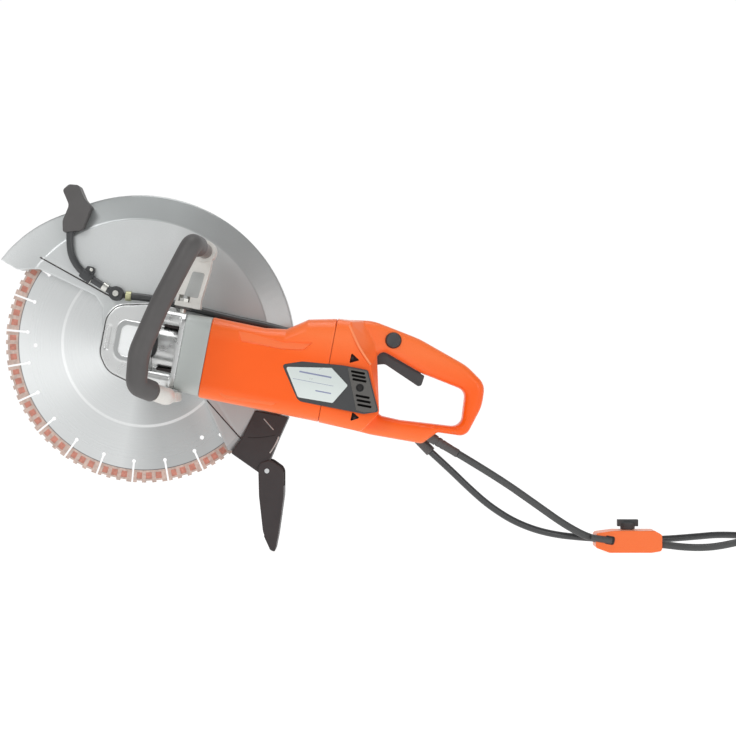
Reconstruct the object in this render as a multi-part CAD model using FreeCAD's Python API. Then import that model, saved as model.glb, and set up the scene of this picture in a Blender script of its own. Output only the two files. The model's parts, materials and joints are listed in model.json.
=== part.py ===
"""Electric concrete cut-off saw with a 350 mm wet-cutting blade, in millimetres.

Two working frames are used, both with their origin where the blade's axis meets the motor's axis:
- the blade frame: X towards the rear handle, Y along the spindle towards the blade, Z up;
- the body frame: the same, turned about Y by BODY_TILT, so that its X runs along the motor.
Every finished piece is moved by PLACE so that the floor under the saw's middle is the origin.
"""
import FreeCAD, Part
import math
import os

V = FreeCAD.Vector
ORIGIN = V(0, 0, 0)
ALONG_X = V(1, 0, 0)
ALONG_Y = V(0, 1, 0)
ALONG_Z = V(0, 0, 1)

# ---- driving dimensions -------------------------------------------------------------------
BODY_TILT = 10.8               # nose-up angle of the motor axis, degrees
FLOOR_Z = -259.2               # floor below the blade axis
PLACE = V(-118.8, 26.9, -FLOOR_Z)   # from the blade frame to the part's own frame
HUB_GAP = 0.25                 # radial running clearance of the guard on its hub
PIN_GAP = 0.06                 # radial running clearance of the flap and the trigger

BLADE_R = 175.0
BLADE_Y = 72.0                 # mid-plane of the blade
CORE_R = 159.6
CORE_T = 2.4
SEGMENT_T = 3.2
SEGMENTS = 24
SEGMENT_START = 9.5            # angle of the first slot, degrees from +X towards +Z
SLOT_W = 2.6
KEYHOLE_R = 2.4
KEYHOLE_AT = 148.6
ARBOR_R = 12.7

GEAR_MODULE = 1.5
PINION_TEETH = 10
CROWN_TEETH = 47
GEAR_FACE = 10.0
SPINDLE_R = 9.0                # bore of the crown gear
PINION_BORE_R = 3.6
CROWN_BACK_Y = 24.0            # rear face of the crown gear's hub
JOURNAL_GAP = 0.03             # radial running clearance in the ball bearings

HOUSING_HALF_W = 50.0          # half width of the orange motor housing
WALL = 3.5                     # wall of the moulded shells
SEAM_X = 234.0                 # joint between motor housing and rear handle
COLLAR_X = (56.0, 87.0)
HANDLE_HALF_W = 20.0
BOLT_OFFSET = (35.0, 37.0)     # the four long housing screws, across and up from the axis

GUARD_AXIS = (-6.5, -9.0)      # centre of the guard's rim in the blade frame
GUARD_R = 194.6
GUARD_FLAT_R = 164.0           # the near plate is flat inside this radius
GUARD_NEAR_Y = 52.3
GUARD_FAR_Y = 92.0
GUARD_BEVEL = 12.0             # how far the near band leans back at the rim
GUARD_T = 2.5
GUARD_HUB_R = 31.0

GRIP_Y = -135.0                # the front handle's long stretch lies in this plane
GRIP_R = 12.3
HANDLE_TUBE_R = 9.0
CORD_R = 4.5
HOSE_R = 4.25
LINE_Y = 46.0                  # plane of the water line beside the guard
LINE_R = 4.5

PARTS = {}


# ---- general helpers ----------------------------------------------------------------------
def filleted_edges(points, radii, closed):
    """Straight edges joined by tangent arcs, through 3-D points."""
    bends = []
    last = len(points) - 1
    for index, here in enumerate(points):
        radius = radii[index]
        if radius == 0 or (not closed and index in (0, last)):
            bends.append((here, None, here))
            continue
        back = (points[index - 1] - here).normalize()
        ahead = (points[(index + 1) % (last + 1)] - here).normalize()
        half = back.getAngle(ahead) / 2
        reach = radius / math.tan(half)
        middle = here + (back + ahead).normalize() * (radius / math.sin(half) - radius)
        bends.append((here + back * reach, middle, here + ahead * reach))
    edges = []
    for index, (start, middle, end) in enumerate(bends):
        if middle is not None:
            edges.append(Part.Arc(start, middle, end).toShape())
        if index < last or closed:
            following = bends[(index + 1) % (last + 1)][0]
            if (following - end).Length > 1e-6:
                edges.append(Part.LineSegment(end, following).toShape())
    return edges


def outline(corners, y=0.0):
    """Closed wire in the XZ plane from (x, z, corner radius) triples."""
    points = [V(x, y, z) for x, z, _ in corners]
    return Part.Wire(filleted_edges(points, [radius for _, _, radius in corners], True))


def prism(corners, y0, y1):
    """Solid between two Y planes over an XZ outline."""
    return Part.Face(outline(corners, y0)).extrude(V(0, y1 - y0, 0))


def inset_prism(corners, inset, y0, y1):
    """The same, with its outline moved inwards by inset (outwards if negative)."""
    wire = outline(corners, y0).makeOffset2D(-inset)
    return Part.Face(wire).extrude(V(0, y1 - y0, 0))


def rod(radius, start, end):
    """Round bar between two points."""
    return Part.makeCylinder(radius, (end - start).Length, start, end - start)


def ring(outer, inner, start, end):
    """Round tube between two points."""
    return rod(outer, start, end).cut(rod(inner, start, end))


def block(low, high):
    """Box between its two extreme corners."""
    return Part.makeBox(high[0] - low[0], high[1] - low[1], high[2] - low[2], V(*low))


def turned(profile, centre, axis, across):
    """Solid of revolution; profile is (radius, distance along the axis) pairs."""
    points = [centre + across * r + axis * h for r, h in profile]
    face = Part.Face(Part.makePolygon(points + points[:1]))
    return face.revolve(centre, axis, 360)


def sector(outer, inner, start_deg, end_deg, x0, x1):
    """Part of a tube about the motor axis; angles go from +Y towards +Z."""
    sweep = end_deg - start_deg
    turn = FreeCAD.Rotation(ALONG_X, start_deg)
    low = turn.multVec(V(0, inner, 0)) + V(x0, 0, 0)
    high = turn.multVec(V(0, outer, 0)) + V(x0, 0, 0)
    edge = Part.LineSegment(low, high).toShape()
    return edge.revolve(V(x0, 0, 0), ALONG_X, sweep).extrude(V(x1 - x0, 0, 0))


def natural_radii(points):
    """The largest arcs that the runs of a free route leave room for."""
    radii = [0.0] * len(points)
    for index in range(1, len(points) - 1):
        back = points[index - 1] - points[index]
        ahead = points[index + 1] - points[index]
        turn = math.pi - back.getAngle(ahead)
        radii[index] = 0.45 * min(back.Length, ahead.Length) / math.tan(turn / 2)
    return radii


def swept(points, radii, radius):
    """Round bar along straight runs joined by arcs."""
    path = Part.Wire(filleted_edges(points, radii, False))
    disc = Part.Wire(Part.makeCircle(radius, points[0], points[1] - points[0]))
    return path.makePipeShell([disc], True, False)


def pan_screw(head_at, direction, head_r, shank_r, length):
    """Screw with its head's underside at head_at and its shank along direction."""
    along = V(direction).normalize()
    shank = rod(shank_r, head_at, head_at + along * length)
    head = rod(head_r, head_at - along * (head_r * 0.75), head_at)
    socket = rod(head_r * 0.5, head_at - along * head_r, head_at - along * (head_r * 0.35))
    return shank.fuse(head).cut(socket)


def hexagon_bolt(head_at, direction, across_flats, shank_r, length, head_t):
    """Hexagon bolt with its head's underside at head_at."""
    along = V(direction).normalize()
    corner_r = across_flats / math.sqrt(3)
    side = along.cross(ALONG_X if abs(along.x) < 0.9 else ALONG_Z).normalize()
    corners = []
    for index in range(6):
        turn = FreeCAD.Rotation(along, 60 * index)
        corners.append(head_at + turn.multVec(side * corner_r))
    head = Part.Face(Part.makePolygon(corners + corners[:1])).extrude(along * -head_t)
    return head.fuse(rod(shank_r, head_at, head_at + along * length))


def body_to_blade(shape):
    """Copy of a body-frame shape, turned into the blade frame."""
    copy = shape.copy()
    copy.rotate(ORIGIN, ALONG_Y, BODY_TILT)
    return copy


def body_point(x, z, y=0.0):
    """A body-frame point in the blade frame."""
    return FreeCAD.Rotation(ALONG_Y, BODY_TILT).multVec(V(x, y, z))


def largest_solid(shape):
    """The biggest solid of a cut shape, without loose slivers."""
    return max(shape.Solids, key=lambda solid: solid.Volume)


def keep(name, *solids):
    """Store a node made of one or more blade-frame solids."""
    PARTS[name] = list(solids)


def keep_body(name, *solids):
    """Store a node made of one or more body-frame solids."""
    keep(name, *[body_to_blade(solid) for solid in solids])


# ---- gears --------------------------------------------------------------------------------
PINION_ANGLE = math.atan(PINION_TEETH / CROWN_TEETH)
CROWN_ANGLE = math.pi / 2 - PINION_ANGLE
CONE_OUTER = GEAR_MODULE * CROWN_TEETH / 2 / math.sin(CROWN_ANGLE)
CONE_INNER = CONE_OUTER - GEAR_FACE
ADDENDUM = 0.75 * GEAR_MODULE
DEDENDUM = 1.15 * GEAR_MODULE
TOOTH_THICKNESS = 0.88         # share of the nominal tooth thickness, leaving backlash
PRESSURE_ANGLE = math.radians(20)


def involute(angle):
    return math.tan(angle) - angle


def tooth_half_turn(teeth, cone_angle, height):
    """Half of the tooth's angle about its gear axis, at a height above the pitch cone."""
    virtual_r = GEAR_MODULE * teeth / 2 / math.cos(cone_angle)
    base_r = virtual_r * math.cos(PRESSURE_ANGLE)
    radius = max(virtual_r + height, base_r)
    nominal = math.pi * GEAR_MODULE / 4 * TOOTH_THICKNESS / virtual_r
    half = nominal + involute(PRESSURE_ANGLE) - involute(math.acos(base_r / radius))
    return half / math.cos(cone_angle)


def bevel_tooth(axis, across, teeth, cone_angle, turn):
    """One straight tooth, tapering towards the common apex."""
    aside = axis.cross(across)
    heights = [-DEDENDUM - 0.2, -0.4 * GEAR_MODULE, 0.2 * GEAR_MODULE, ADDENDUM]
    flank = []
    for height in heights:
        flank.append((cone_angle + height / CONE_OUTER, tooth_half_turn(teeth, cone_angle, height)))
    section = [(cone, turn - half) for cone, half in flank]
    section += [(cone, turn + half) for cone, half in reversed(flank)]

    def ray(cone, around):
        radial = across * math.cos(around) + aside * math.sin(around)
        return axis * math.cos(cone) + radial * math.sin(cone)

    centre = ray(cone_angle, turn)
    wires = []
    for distance in (CONE_INNER, CONE_OUTER):
        points = []
        for cone, around in section:
            direction = ray(cone, around)
            points.append(direction * (distance / direction.dot(centre)))
        wires.append(Part.makePolygon(points + points[:1]))
    return Part.makeLoft(wires, True, True)


def bevel_gear(blank, axis, across, teeth, cone_angle, first_turn):
    """A turned blank with its ring of teeth."""
    pitch = 2 * math.pi / teeth
    cut_teeth = []
    for index in range(teeth):
        cut_teeth.append(bevel_tooth(axis, across, teeth, cone_angle, first_turn + index * pitch))
    return blank.multiFuse(cut_teeth).removeSplitter()


def root_point(cone_angle, distance):
    """(radius, distance along the axis) on a gear's root cone."""
    root = cone_angle - DEDENDUM / CONE_OUTER
    return distance * math.sin(root), distance * math.cos(root)


def make_gears():
    small, near = root_point(CROWN_ANGLE, CONE_INNER)
    large, far = root_point(CROWN_ANGLE, CONE_OUTER)
    profile = [(SPINDLE_R, near), (small, near), (large, far), (large, far + 5)]
    profile += [(large - 6, far + 8), (19, far + 8), (19, CROWN_BACK_Y), (SPINDLE_R, CROWN_BACK_Y)]
    blank = turned(profile, ORIGIN, ALONG_Y, ALONG_X)
    half_pitch = math.pi / CROWN_TEETH
    keep_body("crown_gear",
              bevel_gear(blank, ALONG_Y, ALONG_X, CROWN_TEETH, CROWN_ANGLE, half_pitch))
    small, near = root_point(PINION_ANGLE, CONE_INNER)
    large, far = root_point(PINION_ANGLE, CONE_OUTER)
    profile = [(PINION_BORE_R, near), (small, near), (large, far), (large, far + 4)]
    profile += [(PINION_BORE_R, far + 4)]
    blank = turned(profile, ORIGIN, ALONG_X, ALONG_Y)
    keep_body("bevel_pinion",
              bevel_gear(blank, ALONG_X, ALONG_Y, PINION_TEETH, PINION_ANGLE, 0))


# ---- spindle and blade --------------------------------------------------------------------
REAR_BEARING_Y = (-42.0, -34.0)
REAR_BEARING_R = (6.0, 14.0)
NEAR_BEARING_Y = (36.0, 48.0)
NEAR_BEARING_R = (8.5, 20.0)
FLANGE_R = 36.0
INNER_FLANGE_Y = 60.0
OUTER_FLANGE_T = 6.5


def make_spindle():
    core_near = BLADE_Y - CORE_T / 2
    core_far = BLADE_Y + CORE_T / 2
    journal_r = NEAR_BEARING_R[0] - JOURNAL_GAP
    profile = [(0, REAR_BEARING_Y[0]), (REAR_BEARING_R[0] - JOURNAL_GAP, REAR_BEARING_Y[0])]
    profile += [(REAR_BEARING_R[0] - JOURNAL_GAP, REAR_BEARING_Y[1] + 0.5)]
    profile += [(SPINDLE_R, REAR_BEARING_Y[1] + 0.5), (SPINDLE_R, CROWN_BACK_Y)]
    profile += [(11, CROWN_BACK_Y), (11, NEAR_BEARING_Y[0] - 0.5), (journal_r, NEAR_BEARING_Y[0] - 0.5)]
    profile += [(journal_r, core_near - 1), (0, core_near - 1)]
    shaft = turned(profile, ORIGIN, ALONG_Y, ALONG_X)
    tapped = rod(5, V(0, core_near - 26, 0), V(0, core_near, 0))
    keep("spindle", shaft.cut(tapped))

    register = [(journal_r, INNER_FLANGE_Y), (22, INNER_FLANGE_Y), (FLANGE_R, core_near - 5)]
    register += [(FLANGE_R, core_near), (FLANGE_R - 8, core_near), (FLANGE_R - 8, core_near - 0.6)]
    register += [(ARBOR_R, core_near - 0.6), (ARBOR_R, core_far - 0.2), (journal_r, core_far - 0.2)]
    keep("inner_flange", turned(register, ORIGIN, ALONG_Y, ALONG_X))

    outer_far = core_far + OUTER_FLANGE_T
    cap = [(5.2, core_far + 0.6), (FLANGE_R - 8, core_far + 0.6), (FLANGE_R - 8, core_far)]
    cap += [(FLANGE_R, core_far), (FLANGE_R, core_far + 3), (24, outer_far), (5.2, outer_far)]
    keep("outer_flange", turned(cap, ORIGIN, ALONG_Y, ALONG_X))

    washer = ring(12, 5, V(0, outer_far, 0), V(0, outer_far + 2, 0))
    bolt = hexagon_bolt(V(0, outer_far + 2, 0), V(0, -1, 0), 17, 5, outer_far - core_near + 25, 6.5)
    keep("blade_bolt", bolt, washer)


def make_blade():
    near = BLADE_Y - CORE_T / 2
    far = BLADE_Y + CORE_T / 2
    core = rod(CORE_R, V(0, near, 0), V(0, far, 0))
    cuts = [rod(ARBOR_R, V(0, near, 0), V(0, far, 0))]
    for index in range(3):
        turn = FreeCAD.Rotation(ALONG_Y, -61 - 120 * index)
        centre = turn.multVec(V(138, near, 0))
        cuts.append(rod(2.6, centre, centre + ALONG_Y * CORE_T))
    pitch = 360 / SEGMENTS
    for index in range(SEGMENTS):
        slot = block((KEYHOLE_AT, near, -SLOT_W / 2), (CORE_R + 1, far, SLOT_W / 2))
        keyhole = rod(KEYHOLE_R, V(KEYHOLE_AT, near, 0), V(KEYHOLE_AT, far, 0))
        for cut in (slot, keyhole):
            cut.rotate(ORIGIN, ALONG_Y, -SEGMENT_START - pitch * index)
            cuts.append(cut)
    keep("blade_core", core.cut(cuts))

    near = BLADE_Y - SEGMENT_T / 2
    rim = ring(BLADE_R, CORE_R, V(0, near, 0), V(0, near + SEGMENT_T, 0))
    gaps = []
    for index in range(SEGMENTS):
        gap = block((CORE_R - 2, near, -SLOT_W / 2), (BLADE_R + 2, near + SEGMENT_T, SLOT_W / 2))
        gap.rotate(ORIGIN, ALONG_Y, -SEGMENT_START - pitch * index)
        gaps.append(gap)
    keep("blade_segments", *rim.cut(gaps).Solids)


# ---- gear housing and the collar ----------------------------------------------------------
HOUSING_NEAR_Y = -47.0
HOUSING_FAR_Y = 44.0
CROWN_CHAMBER_R = 36.8
FLANGE_SCREWS_AT = [(-6, 41.5), (-6, -41.5), (31, 42), (31, -42)]
GEAR_OUTLINE = [(-40, -22, 24), (-40, 24, 24), (-30, 41, 20), (10, 50, 20), (41, 50, 6),
                (41, -50, 6), (4, -50, 25), (-26, -42, 28)]
NEAR_OUTLINE = [(-40, -22, 24), (-40, 24, 24), (-30, 41, 20), (10, 50, 20), (22, 50, 5),
                (22, -50, 5), (4, -50, 25), (-26, -42, 28)]
FRONT_BEARING_X = (44.5, 55.5)
FRONT_BEARING_R = (7.5, 17.5)
NECK_R = 25.5
FAN_CHAMBER_R = 42.0
BOLT_TIP_X = 34.0
BOLT_HEAD_X = 99.0


def bolt_places():
    """The four long screws, as (y, z) from the motor axis."""
    across, up = BOLT_OFFSET
    return [(-across, -up), (-across, up), (across, -up), (across, up)]


def body_section(x, half_width, low, high, radius):
    """Rounded rectangle across the motor axis, for lofts."""
    corners = [V(x, -half_width, low), V(x, half_width, low), V(x, half_width, high),
               V(x, -half_width, high)]
    return Part.Wire(filleted_edges(corners, [radius] * 4, True))


def make_gear_housing():
    case = prism(GEAR_OUTLINE, -3, HOUSING_FAR_Y)
    case = case.fuse(prism(NEAR_OUTLINE, HOUSING_NEAR_Y + 4, 0))
    case = case.fuse(inset_prism(NEAR_OUTLINE, 3, HOUSING_NEAR_Y, HOUSING_NEAR_Y + 4))
    case = case.fuse(rod(NECK_R, ORIGIN, V(COLLAR_X[0], 0, 0)))
    for y, z in bolt_places():
        case = case.fuse(rod(8.5, V(20, y, z), V(COLLAR_X[0], y, z)))
    flange = Part.Face(body_section(COLLAR_X[0] - 6, 47, -47, 45, 14)).extrude(V(6, 0, 0))
    case = case.fuse(flange)
    raised = [(-22, -24, 12), (-22, 24, 12), (20, 24, 12), (20, -24, 12)]
    case = case.fuse(prism(raised, HOUSING_NEAR_Y - 1.6, HOUSING_NEAR_Y + 1))
    hollow = inset_prism(raised, 5, HOUSING_NEAR_Y - 2, HOUSING_NEAR_Y)
    cuts = [hollow]
    cuts.append(prism([(-34, -15, 2), (-34, 15, 2), (-29, 15, 2), (-29, -15, 2)],
                      HOUSING_NEAR_Y - 1, HOUSING_NEAR_Y + 1))
    cuts.append(rod(REAR_BEARING_R[1], V(0, REAR_BEARING_Y[0], 0), V(0, 0, 0)))
    cuts.append(rod(26, V(0, REAR_BEARING_Y[1], 0), V(0, 8, 0)))
    cuts.append(rod(CROWN_CHAMBER_R, V(0, 3, 0), V(0, HOUSING_FAR_Y, 0)))
    cuts.append(rod(11.5, ORIGIN, V(FRONT_BEARING_X[0], 0, 0)))
    cuts.append(rod(FRONT_BEARING_R[1], V(FRONT_BEARING_X[0], 0, 0), V(COLLAR_X[0], 0, 0)))
    for y, z in bolt_places():
        cuts.append(rod(2.5, V(BOLT_TIP_X, y, z), V(COLLAR_X[0], y, z)))
    for x, z in FLANGE_SCREWS_AT:
        cuts.append(rod(2.0, V(x, HOUSING_FAR_Y - 14, z), V(x, HOUSING_FAR_Y, z)))
    for y in BRACKET_BOLT_Y:
        cuts.append(rod(3.0, V(BRACKET_BOLT_X, y, 34), V(BRACKET_BOLT_X, y, 52)))
    keep_body("gear_housing", case.cut(cuts))

    plate = inset_prism(GEAR_OUTLINE, 0.5, HOUSING_FAR_Y, HOUSING_FAR_Y + 5)
    plate = plate.fuse(rod(CROWN_CHAMBER_R - 0.1, V(0, HOUSING_FAR_Y - 9, 0), V(0, HOUSING_FAR_Y, 0)))
    plate = plate.fuse(rod(38, V(0, HOUSING_FAR_Y, 0), V(0, GUARD_NEAR_Y - 0.5, 0)))
    plate = plate.fuse(rod(GUARD_HUB_R - HUB_GAP, V(0, 48, 0), V(0, INNER_FLANGE_Y - 1.5, 0)))
    cuts = [rod(NEAR_BEARING_R[1], V(0, NEAR_BEARING_Y[0] - 2, 0), V(0, NEAR_BEARING_Y[1], 0))]
    cuts.append(rod(9.5, V(0, 30, 0), V(0, 70, 0)))
    for x, z in FLANGE_SCREWS_AT:
        cuts.append(rod(2.2, V(x, HOUSING_FAR_Y, z), V(x, HOUSING_FAR_Y + 5, z)))
        cuts.append(rod(4.2, V(x, HOUSING_FAR_Y + 3, z), V(x, HOUSING_FAR_Y + 9, z)))
    keep_body("bearing_flange", plate.cut(cuts))
    screws = []
    for x, z in FLANGE_SCREWS_AT:
        screws.append(pan_screw(V(x, HOUSING_FAR_Y + 3, z), V(0, -1, 0), 4.0, 2.0, 14))
    keep_body("flange_screws", *screws)


def ball_bearing(inner_r, outer_r, start, end):
    """One sealed bearing as a ring with a shallow groove in each face."""
    along = (end - start).normalize()
    whole = ring(outer_r, inner_r, start, end)
    land = (outer_r - inner_r) * 0.28
    for face, inward in ((start, along), (end, along * -1)):
        whole = whole.cut(ring(outer_r - land, inner_r + land, face, face + inward * 0.6))
    return whole


def make_bearings():
    near = ball_bearing(*NEAR_BEARING_R, V(0, NEAR_BEARING_Y[0], 0), V(0, NEAR_BEARING_Y[1], 0))
    rear = ball_bearing(*REAR_BEARING_R, V(0, REAR_BEARING_Y[0], 0), V(0, REAR_BEARING_Y[1], 0))
    keep_body("spindle_bearings", near, rear)
    front = ball_bearing(*FRONT_BEARING_R, V(FRONT_BEARING_X[0], 0, 0), V(FRONT_BEARING_X[1], 0, 0))
    back = ball_bearing(*BACK_BEARING_R, V(BACK_BEARING_X[0], 0, 0), V(BACK_BEARING_X[1], 0, 0))
    keep_body("motor_bearings", front, back)


def make_collar():
    start, end = COLLAR_X
    sections = [body_section(start, 47, -47, 45, 14), body_section(end, 49.5, -50, 46.5, 16)]
    collar = Part.makeLoft(sections, True, True)
    cuts = [rod(FAN_CHAMBER_R, V(start + 4, 0, 0), V(end, 0, 0))]
    cuts.append(rod(9, V(start, 0, 0), V(end, 0, 0)))
    for y, z in bolt_places():
        cuts.append(rod(2.7, V(start, y, z), V(end, y, z)))
    for index in range(5):
        y = (index - 2) * 9
        cuts.append(block((start + 9, y - 2.5, -52), (end - 5, y + 2.5, -30)))
    keep_body("motor_collar", collar.cut(cuts))
    keep_body("air_baffle", ring(FAN_CHAMBER_R - 0.1, 30, V(end - 3, 0, 0), V(end, 0, 0)))
    screws = []
    for y, z in bolt_places():
        screws.append(pan_screw(V(BOLT_HEAD_X, y, z), V(-1, 0, 0), 4.6, 2.5, BOLT_HEAD_X - BOLT_TIP_X))
    keep_body("housing_screws", *screws)


# ---- motor --------------------------------------------------------------------------------
STATOR_X = (118.0, 178.0)
STATOR_R = (27.6, 42.4)
ARMATURE_R = 27.0
ARMATURE_X = (120.0, 176.0)
COMMUTATOR_X = (192.0, 210.0)
COMMUTATOR_R = 17.0
BACK_BEARING_X = (218.0, 225.0)
BACK_BEARING_R = (4.0, 11.0)
FAN_X = (63.0, 82.0)
FAN_R = 40.0


def make_armature():
    front_r = FRONT_BEARING_R[0] - JOURNAL_GAP
    back_r = BACK_BEARING_R[0] - JOURNAL_GAP
    pinion_small = root_point(PINION_ANGLE, CONE_INNER)[1]
    pinion_end = root_point(PINION_ANGLE, CONE_OUTER)[1] + 4
    profile = [(0, pinion_small - 1), (PINION_BORE_R, pinion_small - 1), (PINION_BORE_R, pinion_end)]
    profile += [(front_r, pinion_end), (front_r, FRONT_BEARING_X[1] + 1)]
    profile += [(8.5, FRONT_BEARING_X[1] + 1), (8.5, COMMUTATOR_X[1]), (back_r, COMMUTATOR_X[1])]
    profile += [(back_r, BACK_BEARING_X[1]), (0, BACK_BEARING_X[1])]
    keep_body("armature_shaft", turned(profile, ORIGIN, ALONG_X, ALONG_Y))

    stack = ring(ARMATURE_R, 8.5, V(ARMATURE_X[0], 0, 0), V(ARMATURE_X[1], 0, 0))
    slots = []
    for index in range(14):
        slot = block((ARMATURE_X[0], -1.2, ARMATURE_R - 8), (ARMATURE_X[1], 1.2, ARMATURE_R + 1))
        slot.rotate(ORIGIN, ALONG_X, index * 360 / 14)
        slots.append(slot)
    coils = [ring(ARMATURE_R - 4, 12, V(ARMATURE_X[0] - 9, 0, 0), V(ARMATURE_X[0], 0, 0))]
    coils.append(ring(ARMATURE_R - 4, 12, V(ARMATURE_X[1], 0, 0), V(ARMATURE_X[1] + 9, 0, 0)))
    core = stack.cut(slots).fuse(coils)
    keep_body("armature_core", core)

    bars = ring(COMMUTATOR_R, 8.5, V(COMMUTATOR_X[0], 0, 0), V(COMMUTATOR_X[1], 0, 0))
    grooves = []
    for index in range(28):
        groove = block((COMMUTATOR_X[0], -0.3, COMMUTATOR_R - 1), (COMMUTATOR_X[1] - 3, 0.3, 20))
        groove.rotate(ORIGIN, ALONG_X, index * 360 / 28)
        grooves.append(groove)
    keep_body("commutator", bars.cut(grooves))

    start, end = FAN_X
    fan = ring(FAN_R, 12, V(start, 0, 0), V(start + 2, 0, 0))
    fan = fan.fuse(ring(13, 8.5, V(start, 0, 0), V(end, 0, 0)))
    for index in range(11):
        blade = block((start, -0.9, 12.5), (end, 0.9, FAN_R))
        blade.rotate(V(0, 0, 26), ALONG_X, 28)
        blade.rotate(ORIGIN, ALONG_X, index * 360 / 11)
        fan = fan.fuse(blade)
    keep_body("cooling_fan", fan.common(rod(FAN_R, V(start, 0, 0), V(end, 0, 0))))


def make_stator():
    inner, outer = STATOR_R
    stack = ring(outer, inner, V(STATOR_X[0], 0, 0), V(STATOR_X[1], 0, 0))
    coil_r = (outer - 3.5, inner + 3.5)
    pockets = []
    coils = []
    for pole in (90, 270):
        sides = []
        for start_deg in (pole - 58, pole + 32):
            pockets.append(sector(*coil_r, start_deg, start_deg + 26, *STATOR_X))
            sides.append(sector(coil_r[0] - 0.4, coil_r[1] + 0.4, start_deg + 1, start_deg + 25,
                                *STATOR_X))
        for x0, x1 in ((STATOR_X[0] - 9, STATOR_X[0]), (STATOR_X[1], STATOR_X[1] + 9)):
            sides.append(sector(coil_r[0] - 0.4, coil_r[1] + 0.4, pole - 57, pole + 57, x0, x1))
        coils.append(sides[0].multiFuse(sides[1:]))
    keep_body("stator_core", stack.cut(pockets))
    keep_body("stator_windings", *coils)


BRUSH_X = COMMUTATOR_X[0] + 2
BRUSH_Y = (20.0, 45.0)


def brush_blocks():
    """Outer blocks of the two brush holders, one each side of the commutator."""
    near = block((BRUSH_X, -BRUSH_Y[1], -8), (BRUSH_X + 10, -BRUSH_Y[0], 8))
    far = block((BRUSH_X, BRUSH_Y[0], -8), (BRUSH_X + 10, BRUSH_Y[1], 8))
    return [near, far]


def make_brushes():
    x0 = BRUSH_X
    tunnel = block((x0 + 2, -BRUSH_Y[1] + 1, -6), (x0 + 8, BRUSH_Y[1] - 1, 6))
    holders = [holder.cut(tunnel) for holder in brush_blocks()]
    brushes = []
    for side in (-1, 1):
        y0 = side * (COMMUTATOR_R + JOURNAL_GAP * 5)
        y1 = side * 33
        brush = block((x0 + 2.2, min(y0, y1), -5.8), (x0 + 7.8, max(y0, y1), 5.8))
        curved = rod(COMMUTATOR_R + 0.15, V(x0, 0, 0), V(x0 + 10, 0, 0))
        brushes.append(brush.cut(curved))
    keep_body("brush_holders", *holders)
    keep_body("carbon_brushes", *brushes)


# ---- orange motor housing -----------------------------------------------------------------
COVER_OUTLINE = [(179, 7, 3), (202, 15, 12), (251, 19.5, 8), (281, 19.5, 3), (303, -27, 3),
                 (286, -33, 5), (206, -32.5, 10)]
PLATE_OUTLINE = [(184, 5, 2), (238, 14, 2), (261, -3, 2), (247, -27, 2), (205, -28, 4)]
COVER_T = 3.0
GRILLE_SLOT = 2.6
LINE_ENTRY = (186.0, 40.0, 48.0)      # where the water line enters the housing's hump


def make_motor_housing():
    stations = [(COLLAR_X[1], 50, -51, 47, 17), (150, 50, -51.5, 46, 17),
                (176, 50, -52, 49.5, 17), (200, 50, -52.5, 66, 18), (SEAM_X, 49, -53, 73, 19)]
    shell = Part.makeLoft([body_section(*station) for station in stations], True, True)
    cuts = [rod(STATOR_R[1] + 0.1, V(COLLAR_X[1] - 1, 0, 0), V(STATOR_X[1], 0, 0))]
    cuts.append(rod(40, V(STATOR_X[1], 0, 0), V(212, 0, 0)))
    cuts.append(rod(BACK_BEARING_R[1], V(BACK_BEARING_X[0], 0, 0), V(SEAM_X + 1, 0, 0)))
    cuts.append(rod(6, V(205, 0, 0), V(SEAM_X + 1, 0, 0)))
    rear_pocket = Part.Face(body_section(226, 43, -47, 64, 12)).extrude(V(SEAM_X - 225, 0, 0))
    cuts.append(rear_pocket.cut(rod(16, V(220, 0, 0), V(SEAM_X - 4, 0, 0))))
    for angle in (45, 135, 225, 315):
        vent = rod(8, V(205, 0, 27), V(230, 0, 27))
        vent.rotate(ORIGIN, ALONG_X, angle)
        cuts.append(vent)
    for y, z in bolt_places():
        cuts.append(rod(2.7, V(COLLAR_X[1], y, z), V(BOLT_HEAD_X, y, z)))
        cuts.append(rod(5.2, V(BOLT_HEAD_X, y, z), V(SEAM_X, y, z)))
    cuts += brush_blocks()
    for y0, y1 in ((-HOUSING_HALF_W - 2, -HOUSING_HALF_W + COVER_T),
                   (HOUSING_HALF_W - COVER_T, HOUSING_HALF_W + 2)):
        cuts.append(inset_prism(COVER_OUTLINE, -0.2, y0, y1))
    shell = body_to_blade(shell.cut(cuts))
    keep("motor_housing", shell.cut(make_supply_hose()))


# ---- rear handle --------------------------------------------------------------------------
LOOP_OUTLINE = [(SEAM_X, -53, 0), (SEAM_X, 73, 0), (276, 79.5, 60), (335, 68.5, 120),
                (398, 47, 60), (424, 29, 20), (425, 2, 50), (413, -37.5, 13), (378, -39, 3),
                (362, -56, 7), (300, -57, 90)]
HAND_GAP = [(283, 20, 12), (292, 46.5, 8), (345, 28, 60), (402, 17, 11), (405, -27.5, 12),
            (330, -33, 60), (304, -32, 8)]
BLOCK_OUTLINE = [(SEAM_X, -53, 0), (SEAM_X, 71, 0), (248, 72, 3), (268, 41, 8), (283, 25, 6),
                 (304, -28, 4), (286, -55, 6)]
TRIGGER_OUTLINE = [(280.5, 18, 1.5), (283, 34, 6), (287, 55, 3), (297, 55, 4), (303, 40, 4),
                   (350, 25.5, 2), (348, 10, 4), (300, 30.5, 8), (288, 27, 5)]
TRIGGER_SLOT = [(279, 20, 0), (279, 52, 0), (283, 61, 3), (299, 61, 3), (312, 43.5, 2),
                (358, 36, 3), (358, 10, 0), (300, 20, 0)]
TRIGGER_PIVOT = (291.5, 50.0)
TRIGGER_PIN_R = 2.5
TRIGGER_PIN_HALF = 18.5        # half of the pin's length
TRIGGER_HALF_W = 7.5
LOCK_AT = (304.5, 60.5)
LOCK_R = 9.4
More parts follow.
